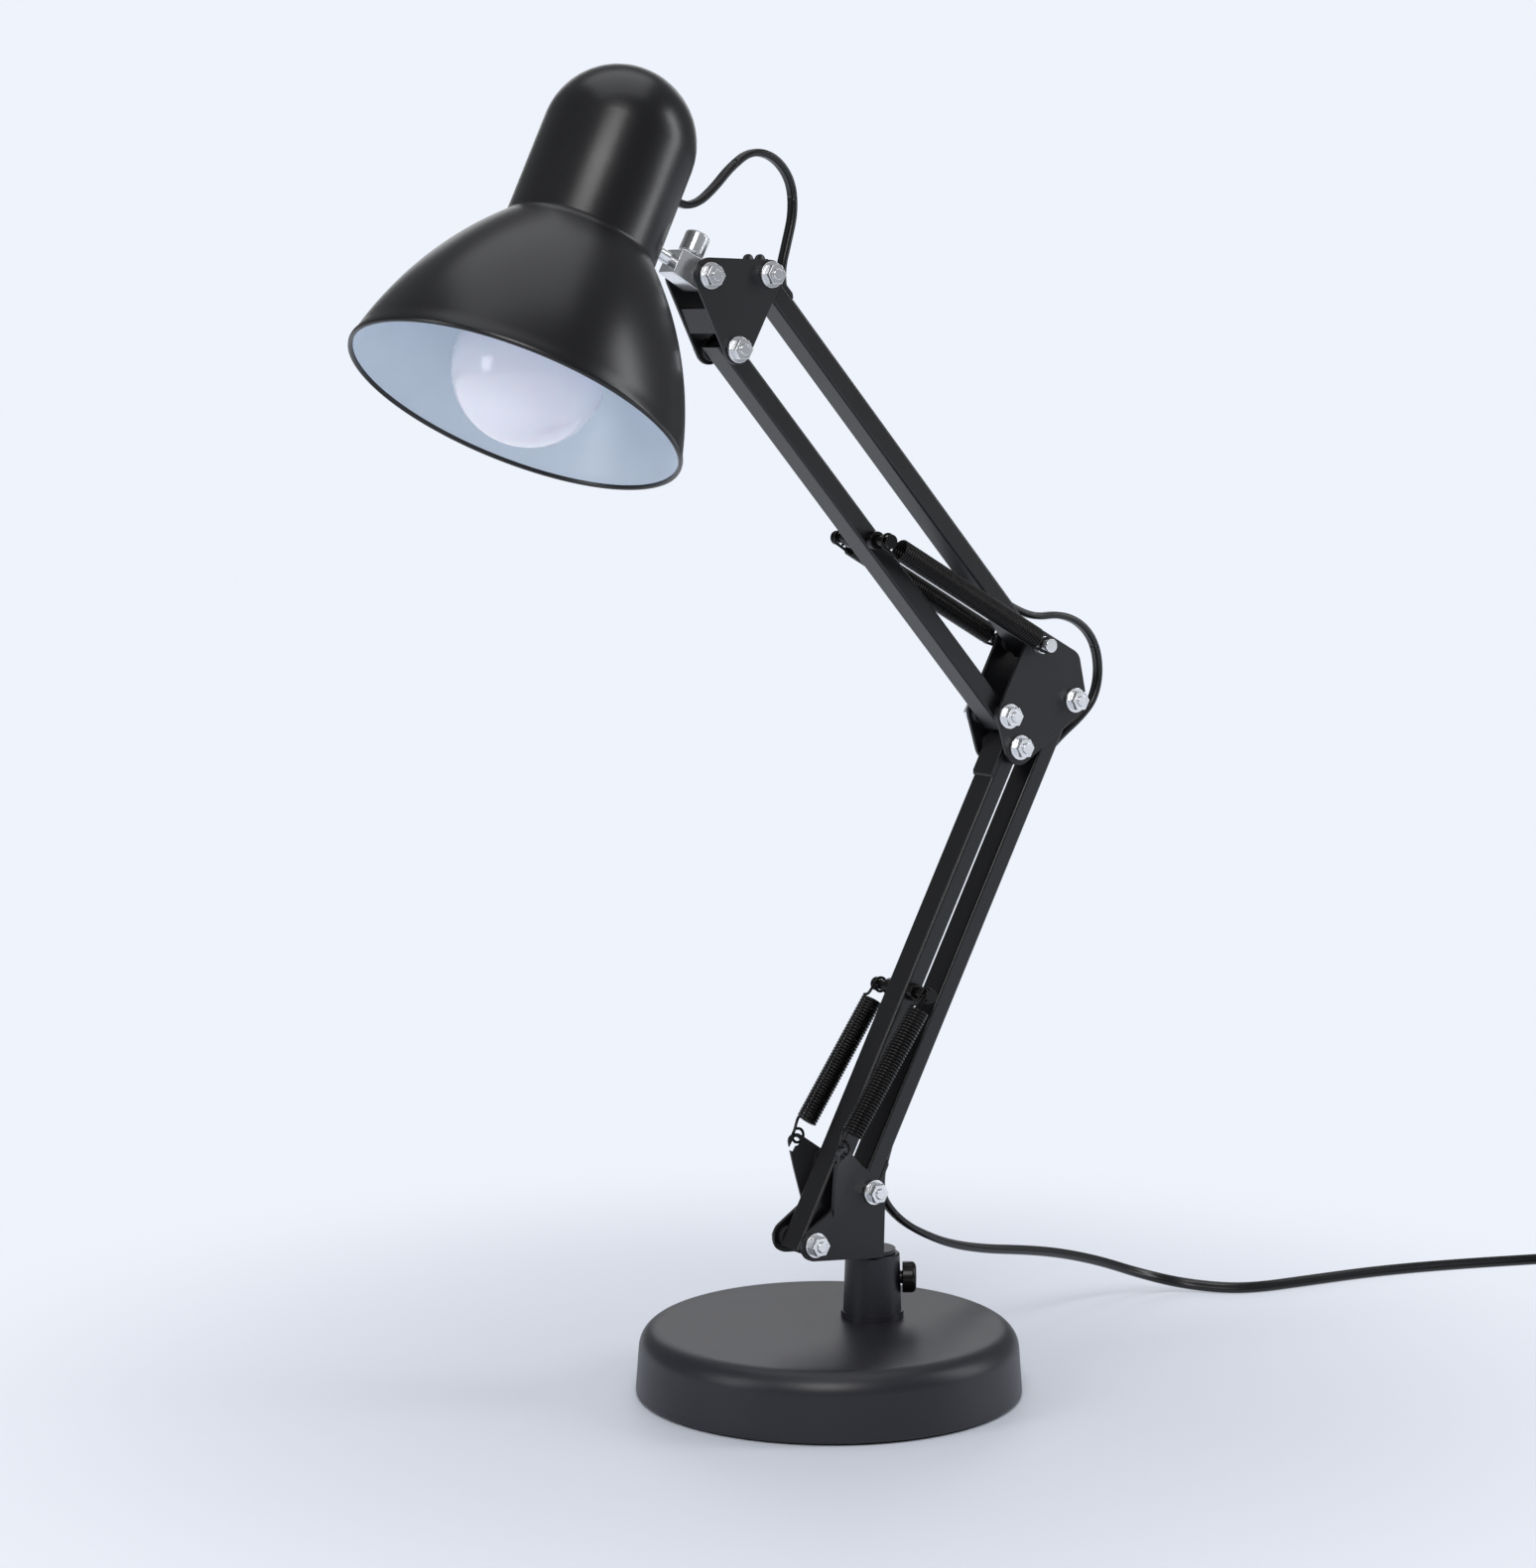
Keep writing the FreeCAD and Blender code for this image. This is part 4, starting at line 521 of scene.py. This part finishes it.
def sweep(name, line, section, width_way, material):
    """A tube along a line of points. width_way gives its width's direction from 0 to 1 along it."""
    work = bmesh.new()
    count = len(line)
    rings = []
    for i, at in enumerate(line):
        way = (line[min(i + 1, count - 1)] - line[max(i - 1, 0)]).normalized()
        wide = Vector(width_way(i / (count - 1)))
        wide = (wide - way * wide.dot(way)).normalized()
        up = way.cross(wide)
        rings.append([work.verts.new(at + (wide * x + up * y) * MM) for x, y in section])
    for low, high in zip(rings, rings[1:]):
        for i in range(len(section)):
            after = (i + 1) % len(section)
            work.faces.new((low[i], low[after], high[after], high[i])).smooth = True
    work.faces.new(rings[0][::-1])
    work.faces.new(rings[-1])
    bmesh.ops.recalc_face_normals(work, faces=work.faces)
    mesh = bpy.data.meshes.new(name)
    work.to_mesh(mesh)
    work.free()
    return piece(name, mesh, material)


def length_of(line):
    return sum((b - a).length for a, b in zip(line, line[1:]))


def turning(start, end, late):
    """A width direction that turns from start to end and is done at the share late."""
    def way(share):
        t = min(1.0, share / late)
        t = t * t * (3 - 2 * t)
        return Vector(start) * (1 - t) + Vector(end) * t
    return way


COIL_MIDDLE = (384.0, -62.0)
COIL_INNER = 14.5
COIL_PITCH = 4.65
COIL_RISE = 4.7
COIL_TURNS = 4
COIL_START = 67.0
COIL_SHORT = 0.18
LEAD_LOW = 2.35       # height of the lead's middle where it stands on its edge on the table
PER_TURN = 16


def coil_route():
    """Control points of the put-away coil: in along the table, up at its heart, out on top."""
    reversal = COIL_INNER + COIL_PITCH / 4
    outer = reversal + COIL_PITCH * COIL_TURNS
    rows = []
    for i in range(COIL_TURNS * PER_TURN + 1):
        turns = i / PER_TURN
        rows.append((turns, outer - COIL_PITCH * turns, LEAD_LOW))
    rows.append((COIL_TURNS + 0.125, COIL_INNER + 0.4, LEAD_LOW + COIL_RISE * 0.2))
    rows.append((COIL_TURNS + 0.25, COIL_INNER, LEAD_LOW + COIL_RISE * 0.5))
    rows.append((COIL_TURNS + 0.375, COIL_INNER + 0.4, LEAD_LOW + COIL_RISE * 0.8))
    out_turns = COIL_TURNS - COIL_SHORT
    steps = int(out_turns * PER_TURN)
    for i in range(steps + 1):
        turns = out_turns * i / steps
        rows.append((COIL_TURNS + 0.5 + turns, reversal + COIL_PITCH * turns, LEAD_LOW + COIL_RISE))
    points = []
    for turns, radius, height in rows:
        turn = math.radians(COIL_START) - 2 * math.pi * turns
        points.append((COIL_MIDDLE[0] + radius * math.cos(turn),
                       COIL_MIDDLE[1] + radius * math.sin(turn), height))
    return points


END_WAY = (-0.7306, -0.6827)
END_FROM = (403.36, -89.65)
SWITCH_HEIGHT = 9.0
PLUG_HEIGHT = 7.5


def end_route():
    """From the coil through the hand switch and into the plug."""
    rows = [(0, LEAD_LOW + COIL_RISE - 0.3), (8, 7.0), (18.5, SWITCH_HEIGHT), (28, SWITCH_HEIGHT),
            (50, SWITCH_HEIGHT), (82, SWITCH_HEIGHT), (92, SWITCH_HEIGHT), (100, 8.0),
            (106, PLUG_HEIGHT), (112, PLUG_HEIGHT)]
    return [(END_FROM[0] + END_WAY[0] * along, END_FROM[1] + END_WAY[1] * along, height)
            for along, height in rows]


LEAD_IN = 24.0          # straight stretch before the coil
FIRST_PIECE = 0.022     # FIRST_PIECE = 0.022 # metres of lead in the first piece, between the bar and the bracket
UPRIGHT_AT = 0.11       # share of the lead over which it turns onto its edge
LEAD_MOUTH = (25.56, 0.0, 86.10)
LEAD_WAY = (-0.225, 0.0, -0.974)
FREE_ROUTE = [
    (25.9, 0.0, 72.6), (31.0, 0.6, 66.4), (38.5, 1.8, 60.4), (48.5, 3.6, 54.8),
    (65.5, 8.0, 47.2), (88.8, 15.0, 40.4), (117.0, 24.0, 34.2), (144.0, 33.0, 27.2),
    (172.0, 40.5, 18.2), (196.0, 43.5, 8.8), (213.0, 37.0, 3.4), (225.0, 22.5, LEAD_LOW),
    (238.0, 14.5, LEAD_LOW), (262.0, 11.0, LEAD_LOW), (300.0, 5.5, LEAD_LOW),
    (336.0, -5.5, LEAD_LOW)]


def mains_lead(finish):
    """The flat twin lead from the strain relief to the plug, as one line."""
    mouth = Vector(LEAD_MOUTH)
    coil = coil_route()
    begin = math.radians(COIL_START)
    into = Vector((math.sin(begin), -math.cos(begin), 0))
    lead_in = [Vector(coil[0]) - into * LEAD_IN]
    route = ([mouth, mouth + Vector(LEAD_WAY) * 6.5] + [Vector(p) for p in FREE_ROUTE]
             + lead_in + [Vector(p) for p in coil] + [Vector(p) for p in end_route()])
    line = smooth_line(route, 8)
    split = next(i for i in range(len(line)) if length_of(line[:i + 1]) > FIRST_PIECE)
    flat, upright = (0.0, 1.0, 0.0), (0.0, 0.15, 1.0)
    whole = turning(flat, upright, UPRIGHT_AT)
    shares = split / (len(line) - 1)
    start = sweep("lead_at_the_relief", line[:split + 1], twin_section(),
                  lambda share: whole(share * shares), finish["vinyl"])
    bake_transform(start)
    lead = sweep("mains_lead", line[split:], twin_section(),
                 lambda share: whole(shares + share * (1 - shares)), finish["vinyl"])
    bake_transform(lead)
    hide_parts("cord_tail", "cord_coil", "cord_end")
    return start, lead, line[split:]


# ---------------------------------------------------------------- slack loops of the lead

def on_bar(foot, angle, along, across):
    """A point on a bar, in millimetres: along it from its pivot, and across to its left."""
    turn = math.radians(angle)
    return (foot.x / MM + along * math.cos(turn) - across * math.sin(turn), 0,
            foot.z / MM + along * math.sin(turn) + across * math.cos(turn))


def slack_loop(name, route, joins, splits, node, finish):
    """A loop of the lead across several joints, cut into one piece for each pair of bodies."""
    line = smooth_line(route, 10)
    total = length_of(line)
    start = 0
    for number, (first, second) in enumerate(joins):
        share = splits[number]
        end = (len(line) - 1 if share == 1 else
               next(i for i in range(len(line)) if length_of(line[:i + 1]) > total * share))
        run = line[start:end + 1]
        part = sweep("%s_%d" % (name, number + 1), run, twin_section(), lambda share: (0, 1, 0),
                     finish)
        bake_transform(part)
        start = end
    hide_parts(node)


def elbow_and_head_loops(finish):
    top = [on_bar(TOP_ROOT, UPPER_ANGLE, *at) for at in ((40, 0), (27, -1.4))]
    behind = [(87.5, 0, 301.4), (99.5, 0, 296.8), (112.5, 0, 297.6), (123.6, 0, 293.6),
              (131.0, 0, 285.4), (133.4, 0, 273.4), (130.6, 0, 262.6), (123.4, 0, 255.6),
              (112.6, 0, 248.6)]
    low = [on_bar(REAR_TOP, LOWER_ANGLE, *at) for at in ((-28, -1.6), (-42, 0))]
    slack_loop("elbow_lead", (top + behind + low)[::-1],
               [("lower_rear_bar", "elbow"), ("elbow", "upper_top_bar")], [0.5, 1],
               "elbow_cord_loop", finish["vinyl"])
    slot = [on_bar(TOP_END, UPPER_ANGLE, *at) for at in ((-40, 0), (-27, -1.4))]
    over = [(-21.4, 0, 419.0), (-23.6, 0, 430.4), (-20.4, 0, 441.6), (-17.4, 0, 453.0),
            (-18.6, 0, 464.6), (-26.2, 0, 473.0), (-36.6, 0, 474.8), (-45.8, 0, 468.6),
            (-53.4, 0, 460.6), (-60.8, 0, 454.8)]
    inside = [tuple(IN_SHADE @ mm(r, 0, LEAD_HOLE_HEIGHT) / MM) for r in (32.4, 12)]
    slack_loop("head_lead", slot + over + inside,
               [("upper_top_bar", "head"), ("head", "tilt_knuckle"), ("tilt_knuckle", "shade")],
               [0.42, 0.66, 1], "head_cord_loop", finish["vinyl"])


# ---------------------------------------------------------------- pull springs

def wire_tree():
    """A round wire that follows the edges of a mesh."""
    tree = bpy.data.node_groups.new("Wire along a path", "GeometryNodeTree")
    add_sockets(tree, [("Path", "Geometry", None), ("Wire radius", "Float", 0.0006),
                       ("Facets", "Int", 10), ("Finish", "Material", None)], "INPUT")
    add_sockets(tree, [("Wire", "Geometry", None)], "OUTPUT")
    new, link = tree.nodes.new, tree.links.new
    given, out = new("NodeGroupInput"), new("NodeGroupOutput")
    line, ring = new("GeometryNodeMeshToCurve"), new("GeometryNodeCurvePrimitiveCircle")
    tube, even = new("GeometryNodeCurveToMesh"), new("GeometryNodeSetShadeSmooth")
    whole, dressed = new("GeometryNodeRealizeInstances"), new("GeometryNodeSetMaterial")
    tube.inputs["Fill Caps"].default_value = True
    link(given.outputs["Path"], line.inputs["Mesh"])
    link(given.outputs["Facets"], ring.inputs["Resolution"])
    link(given.outputs["Wire radius"], ring.inputs["Radius"])
    link(line.outputs["Curve"], tube.inputs["Curve"])
    link(ring.outputs["Curve"], tube.inputs["Profile Curve"])
    link(tube.outputs["Mesh"], even.inputs["Geometry"])
    link(even.outputs["Geometry"], whole.inputs["Geometry"])
    link(whole.outputs["Geometry"], dressed.inputs["Geometry"])
    link(given.outputs["Finish"], dressed.inputs["Material"])
    link(dressed.outputs["Geometry"], out.inputs["Wire"])
    return tree


def grown(name, points, tree, **given):
    """The mesh that a node tree grows on a line of points."""
    path = bpy.data.meshes.new("path")
    path.from_pydata([tuple(p) for p in points], [(i, i + 1) for i in range(len(points) - 1)], [])
    holder = bpy.data.objects.new("path", path)
    bpy.context.scene.collection.objects.link(holder)
    step = holder.modifiers.new("grow", "NODES")
    step.node_group = tree
    names = {item.name: item.identifier for item in tree.interface.items_tree
             if item.in_out == "INPUT"}
    for label, value in given.items():
        step[names[label.replace("_", " ")]] = value
    bpy.context.view_layer.update()
    seen = holder.evaluated_get(bpy.context.evaluated_depsgraph_get())
    mesh = bpy.data.meshes.new_from_object(seen)
    bpy.data.objects.remove(holder)
    bpy.data.meshes.remove(path)
    made = bpy.data.objects.new(name, mesh)
    bpy.context.scene.collection.objects.link(made)
    return made


SPRING_DIA = 8.5
SPRING_SHANK = 6.5
PIN_DIA = 4.0


def spring_half(length, wire, half_curls):
    """From an end loop round its pin to the middle of the coil. The spring's pull is along +Z."""
    loop = PIN_DIA / 2 + 0.15 + wire / 2
    coil = (SPRING_DIA - wire) / 2
    rows = []
    for i in range(25):
        turn = math.radians(500 - 320 * i / 24)
        rows.append(Vector((loop * math.cos(turn), 0.6 * (1 - i / 24), loop * math.sin(turn))))
    start, leave = rows[-1], Vector((0, 0, 5.5))
    end, arrive = Vector((-coil, 0, SPRING_SHANK)), Vector((0, -5.5, 0.5))
    for i in range(1, 9):
        t = i / 8
        rows.append(start * (2 * t ** 3 - 3 * t ** 2 + 1) + leave * (t ** 3 - 2 * t ** 2 + t)
                    + end * (3 * t ** 2 - 2 * t ** 3) + arrive * (t ** 3 - t ** 2))
    steps = int(half_curls * 16)
    for i in range(1, steps + 1):
        turn = math.pi + 2 * math.pi * half_curls * i / steps
        rows.append(Vector((coil * math.cos(turn), coil * math.sin(turn),
                            SPRING_SHANK + (length / 2 - SPRING_SHANK) * i / steps)))
    return rows


def pull_spring(node, start, end, side, wire, half_curls, tree, finish):
    span = end - start
    half = spring_half(span.length / MM, wire, half_curls)
    other = [Vector((p.x, -p.y, span.length / MM - p.z)) for p in reversed(half[:-1])]
    way = span.normalized()
    across = Vector((0, 1, 0))
    over = across.cross(way)
    turn = Matrix((over, across, way)).transposed().to_4x4()
    place = Matrix.Translation(start + mm(0, side, 0)) @ turn
    points = [place @ (p * MM) for p in half + other]
    made = grown(node + "_wound", points, tree, Wire_radius=wire / 2 * MM, Facets=10, Finish=finish)
    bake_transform(made)
    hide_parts(node)


def springs(finish):
    tree = wire_tree()
    for name, side in (("near", -15.0), ("far", 15.0)):
        pull_spring("lower_spring_" + name, EAR_HOOK, LOWER_PIN, side,
                    1.15, 21.5, tree, finish["spring"])
        pull_spring("upper_spring_" + name, TOP_ROOT, UPPER_PIN, side,
                    1.15, 31.5, tree, finish["spring"])


# ---------------------------------------------------------------- turned and folded pieces

def bulge(start, end, radius, count, material=0):
    """Profile rows on an arc of a radius between two rows, bulging to the right of the walk."""
    half = (Vector(end) - Vector(start)) / 2
    right = Vector((half.y, -half.x)).normalized()
    middle = Vector(start) + half - right * math.sqrt(radius ** 2 - half.length ** 2)
    first, last = Vector(start) - middle, Vector(end) - middle
    a, b = math.atan2(first.y, first.x), math.atan2(last.y, last.x)
    return [(middle.x + radius * math.cos(a + (b - a) * i / count),
             middle.y + radius * math.sin(a + (b - a) * i / count), material)
            for i in range(count + 1)]


def shade(finish):
    """The bell and neck: black outside, pale inside, with a rolled rim."""
    dome = [(0, 135.7, 0)] + arc((0, 107.4), 28.3, 84, 0, 12)
    neck = [(28.3, 88, 0), (28.3, 67.2, 0), (28.38, 66.3, 0), (28.62, 65.5, 0)]
    bell = bulge((62.5, 0.0), (28.3, 66), 137.3, 22)[1:-1][::-1]
    rim = [(62.72, 1.1, 0), (62.8, 0.4, 0), (62.6, -0.3, 0), (62.05, -0.62, 0), (61.5, -0.4, 0),
           (61.2, 0.2, 0), (61.15, 0.9, 1)]
    inner = bulge((61.5, 0), (27.3, 65.5), 136.3, 22, 1)[1:-1]
    top = [(27.3, 66, 1), (27.3, 107.4, 1)] + arc((0, 107.4), 27.3, 8, 84, 10, 1) + [(0, 134.7, 1)]
    made = spin("shade_bell", dome + neck + bell + rim + inner + top, IN_SHADE,
                [finish["shade"], finish["enamel"]], 160)
    settle(made, "shade", "shade_shell")


def bulb(finish):
    rows = [(0, -12.7, 0)] + arc((0, 15), 27.7, -86, 40.5, 26) + [(0, 33, 0)]
    settle(spin("bulb", rows, IN_SHADE, [finish["opal"]], 96), "shade", "bulb_globe")


def base(finish):
    """The heavy foot's cover, with its round shoulder and a small bead at the bottom edge."""
    foot = [(73.4, 1.0, 0), (74.5, 0.95, 0), (74.95, 1.3, 0), (75.0, 2.0, 0), (74.7, 6.2, 0)]
    side = [(74.2, 12.5, 0)] + bulge((73.8, 18), (65.5, 26.5), 8.9, 12)
    top = [(60, 26.5, 0), (30, 26.5, 0), (0, 26.5, 0)]
    under = [(0, 25, 0), (64.9, 25, 0), (72.3, 17.4, 0), (73.0, 3.0, 0), (73.4, 1.0, 0)]
    made = spin("base_cover", foot + side + top + under,
                Matrix.Identity(4), [finish["base"]], 180)
    work = bmesh.new()
    work.from_mesh(made.data)
    bmesh.ops.remove_doubles(work, verts=work.verts, dist=1e-7)
    work.to_mesh(made.data)
    work.free()
    settle(made, "base", "base_shell")


def sleeve(name, body, foot, angle, start, end, side, finish):
    """A thin folded cap over the outer side of a bar's end, chamfered where it stops."""
    inner, outer = side * 3.4, side * 5.0
    slope = 1.6 if end > start else -1.6
    outline = [(start, inner), (start, outer), (end - slope, outer), (end, side * 4.0),
               (end, inner)]
    work = bmesh.new()
    rings = []
    for across in (-6.12, 6.12):
        ring = []
        for along, out in outline:
            x, _, z = on_bar(foot, angle, along, out)
            ring.append(work.verts.new(mm(x, across, z)))
        rings.append(ring)
    count = len(outline)
    for i in range(count):
        after = (i + 1) % count
        work.faces.new((rings[0][i], rings[0][after], rings[1][after], rings[1][i]))
    work.faces.new(rings[0])
    work.faces.new(rings[1][::-1])
    bmesh.ops.recalc_face_normals(work, faces=work.faces)
    mesh = bpy.data.meshes.new(name)
    work.to_mesh(mesh)
    work.free()
    made = soften(piece(name, mesh, finish["arm"]), 0.35 * MM)
    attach(made, body)


def bar_ends(finish):
    sleeve("top_bar_cap", "upper_top_bar", TOP_END, UPPER_ANGLE, 3.5, -15, -1, finish)
    sleeve("rear_bar_cap", "lower_rear_bar", REAR_TOP, LOWER_ANGLE, 3.5, -10, -1, finish)
    sleeve("rear_bar_foot", "lower_rear_bar", REAR_FOOT, LOWER_ANGLE, -3.5, 14, -1, finish)
    sleeve("front_bar_cap", "lower_front_bar", FRONT_TOP, LOWER_ANGLE, 3.5, -15, 1, finish)


def edge_tabs(finish):
    """Two small round tabs on the top edge of the head bracket's near plate."""
    for number, x in enumerate((-44.4, -39.1)):
        lie = Matrix.Translation(mm(x, -9.25, 434.6)) @ Matrix.Rotation(math.radians(90), 4, "X")
        made = spin("bracket_tab_%d" % (number + 1),
                    [(0, -0.7, 0), (1.9, -0.7, 0), (2.2, -0.4, 0), (2.2, 0.4, 0), (1.9, 0.7, 0),
                     (0, 0.7, 0)], lie, [finish["bracket"]], 24)
        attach(made, "head")


FINISH_OF = {
    "base_paint": "base", "base_iron": "iron", "pad_rubber": "rubber", "bright_zinc": "zinc",
    "bracket_paint": "bracket", "arm_paint": "arm", "bush_nylon": "nylon",
    "spring_steel": "spring", "cord_vinyl": "vinyl", "soft_vinyl": "rubber",
    "shade_paint": "shade", "holder_phenolic": "holder", "plated_steel": "steel",
    "bulb_glass": "opal", "bulb_plastic": "collar", "cap_metal": "cap",
    "switch_plastic": "plastic", "rocker_plastic": "plastic", "pin_brass": "brass",
}
EDGE = {"lower_bracket": 0.35, "elbow_bracket": 0.35, "head_bracket": 0.35, "knuckle": 0.5,
        "post": 0.5, "switch_lower_case": 1.2, "switch_upper_case": 1.2, "plug_body": 1.2,
        "lower_washers": 0.22, "elbow_washers": 0.22, "head_washers": 0.22}
DRESSED = [
    "post", "clamp_screw", "swivel_pin", "lower_bracket", "elbow_bracket", "head_bracket",
    "lower_bolts", "lower_nuts", "lower_washers", "elbow_bolts", "elbow_nuts", "elbow_washers",
    "head_bolts", "head_nuts", "head_washers", "front_bar", "rear_bar", "under_bar", "top_bar",
    "lower_spring_pin", "upper_spring_pin", "elbow_spring_pin", "knuckle", "thumb_nut",
    "shade_rod", "rod_nut", "neck_grommet", "cord_relief", "lamp_holder", "bulb_collar",
    "switch_lower_case", "switch_upper_case", "switch_rocker", "plug_body", "plug_pins"]


def dressed_pieces(finish):
    """Rounded and painted copies of the rigid pieces; the inner ones only get their finish."""
    made = {}
    for node, thing in frame["nodes"].items():
        tone = finish[FINISH_OF[NODE_SLOT[node]]]
        if node in DRESSED:
            made[node] = dress(node, tone, EDGE.get(node, 0.3))
        thing.data.materials.clear()
        thing.data.materials.append(tone)
    return made


# ---------------------------------------------------------------- the make-up of the lamp

camera()
daylight()
table_top()
lamp("key", (-1.0, -1.25, 1.55), (0, 0, 0.25), (0.8, 1.0), 17, (1.0, 0.99, 0.98))
lamp("left", (-1.7, 0.2, 0.9), (0, 0, 0.2), (0.5, 1.2), 7, (0.97, 0.98, 1.0))
lamp("right", (1.5, -0.9, 0.9), (0, 0, 0.25), (0.4, 1.3), 9, (0.97, 0.98, 1.0))
lamp("back", (1.0, 1.5, 0.9), (0, 0, 0.15), (1.4, 0.8), 4, (0.97, 0.98, 1.0))
lamp("above", (0.1, 0.2, 2.0), (0, 0, 0), (1.6, 1.6), 9, (0.97, 0.98, 1.0))
FINISH = finishes()
shade(FINISH)
bulb(FINISH)
base(FINISH)
DRESSED_PIECES = dressed_pieces(FINISH)
bar_ends(FINISH)
edge_tabs(FINISH)
springs(FINISH)
elbow_and_head_loops(FINISH)
start_piece, lead_piece, lead_line = mains_lead(FINISH)

bpy.context.scene.view_settings.view_transform = "Standard"
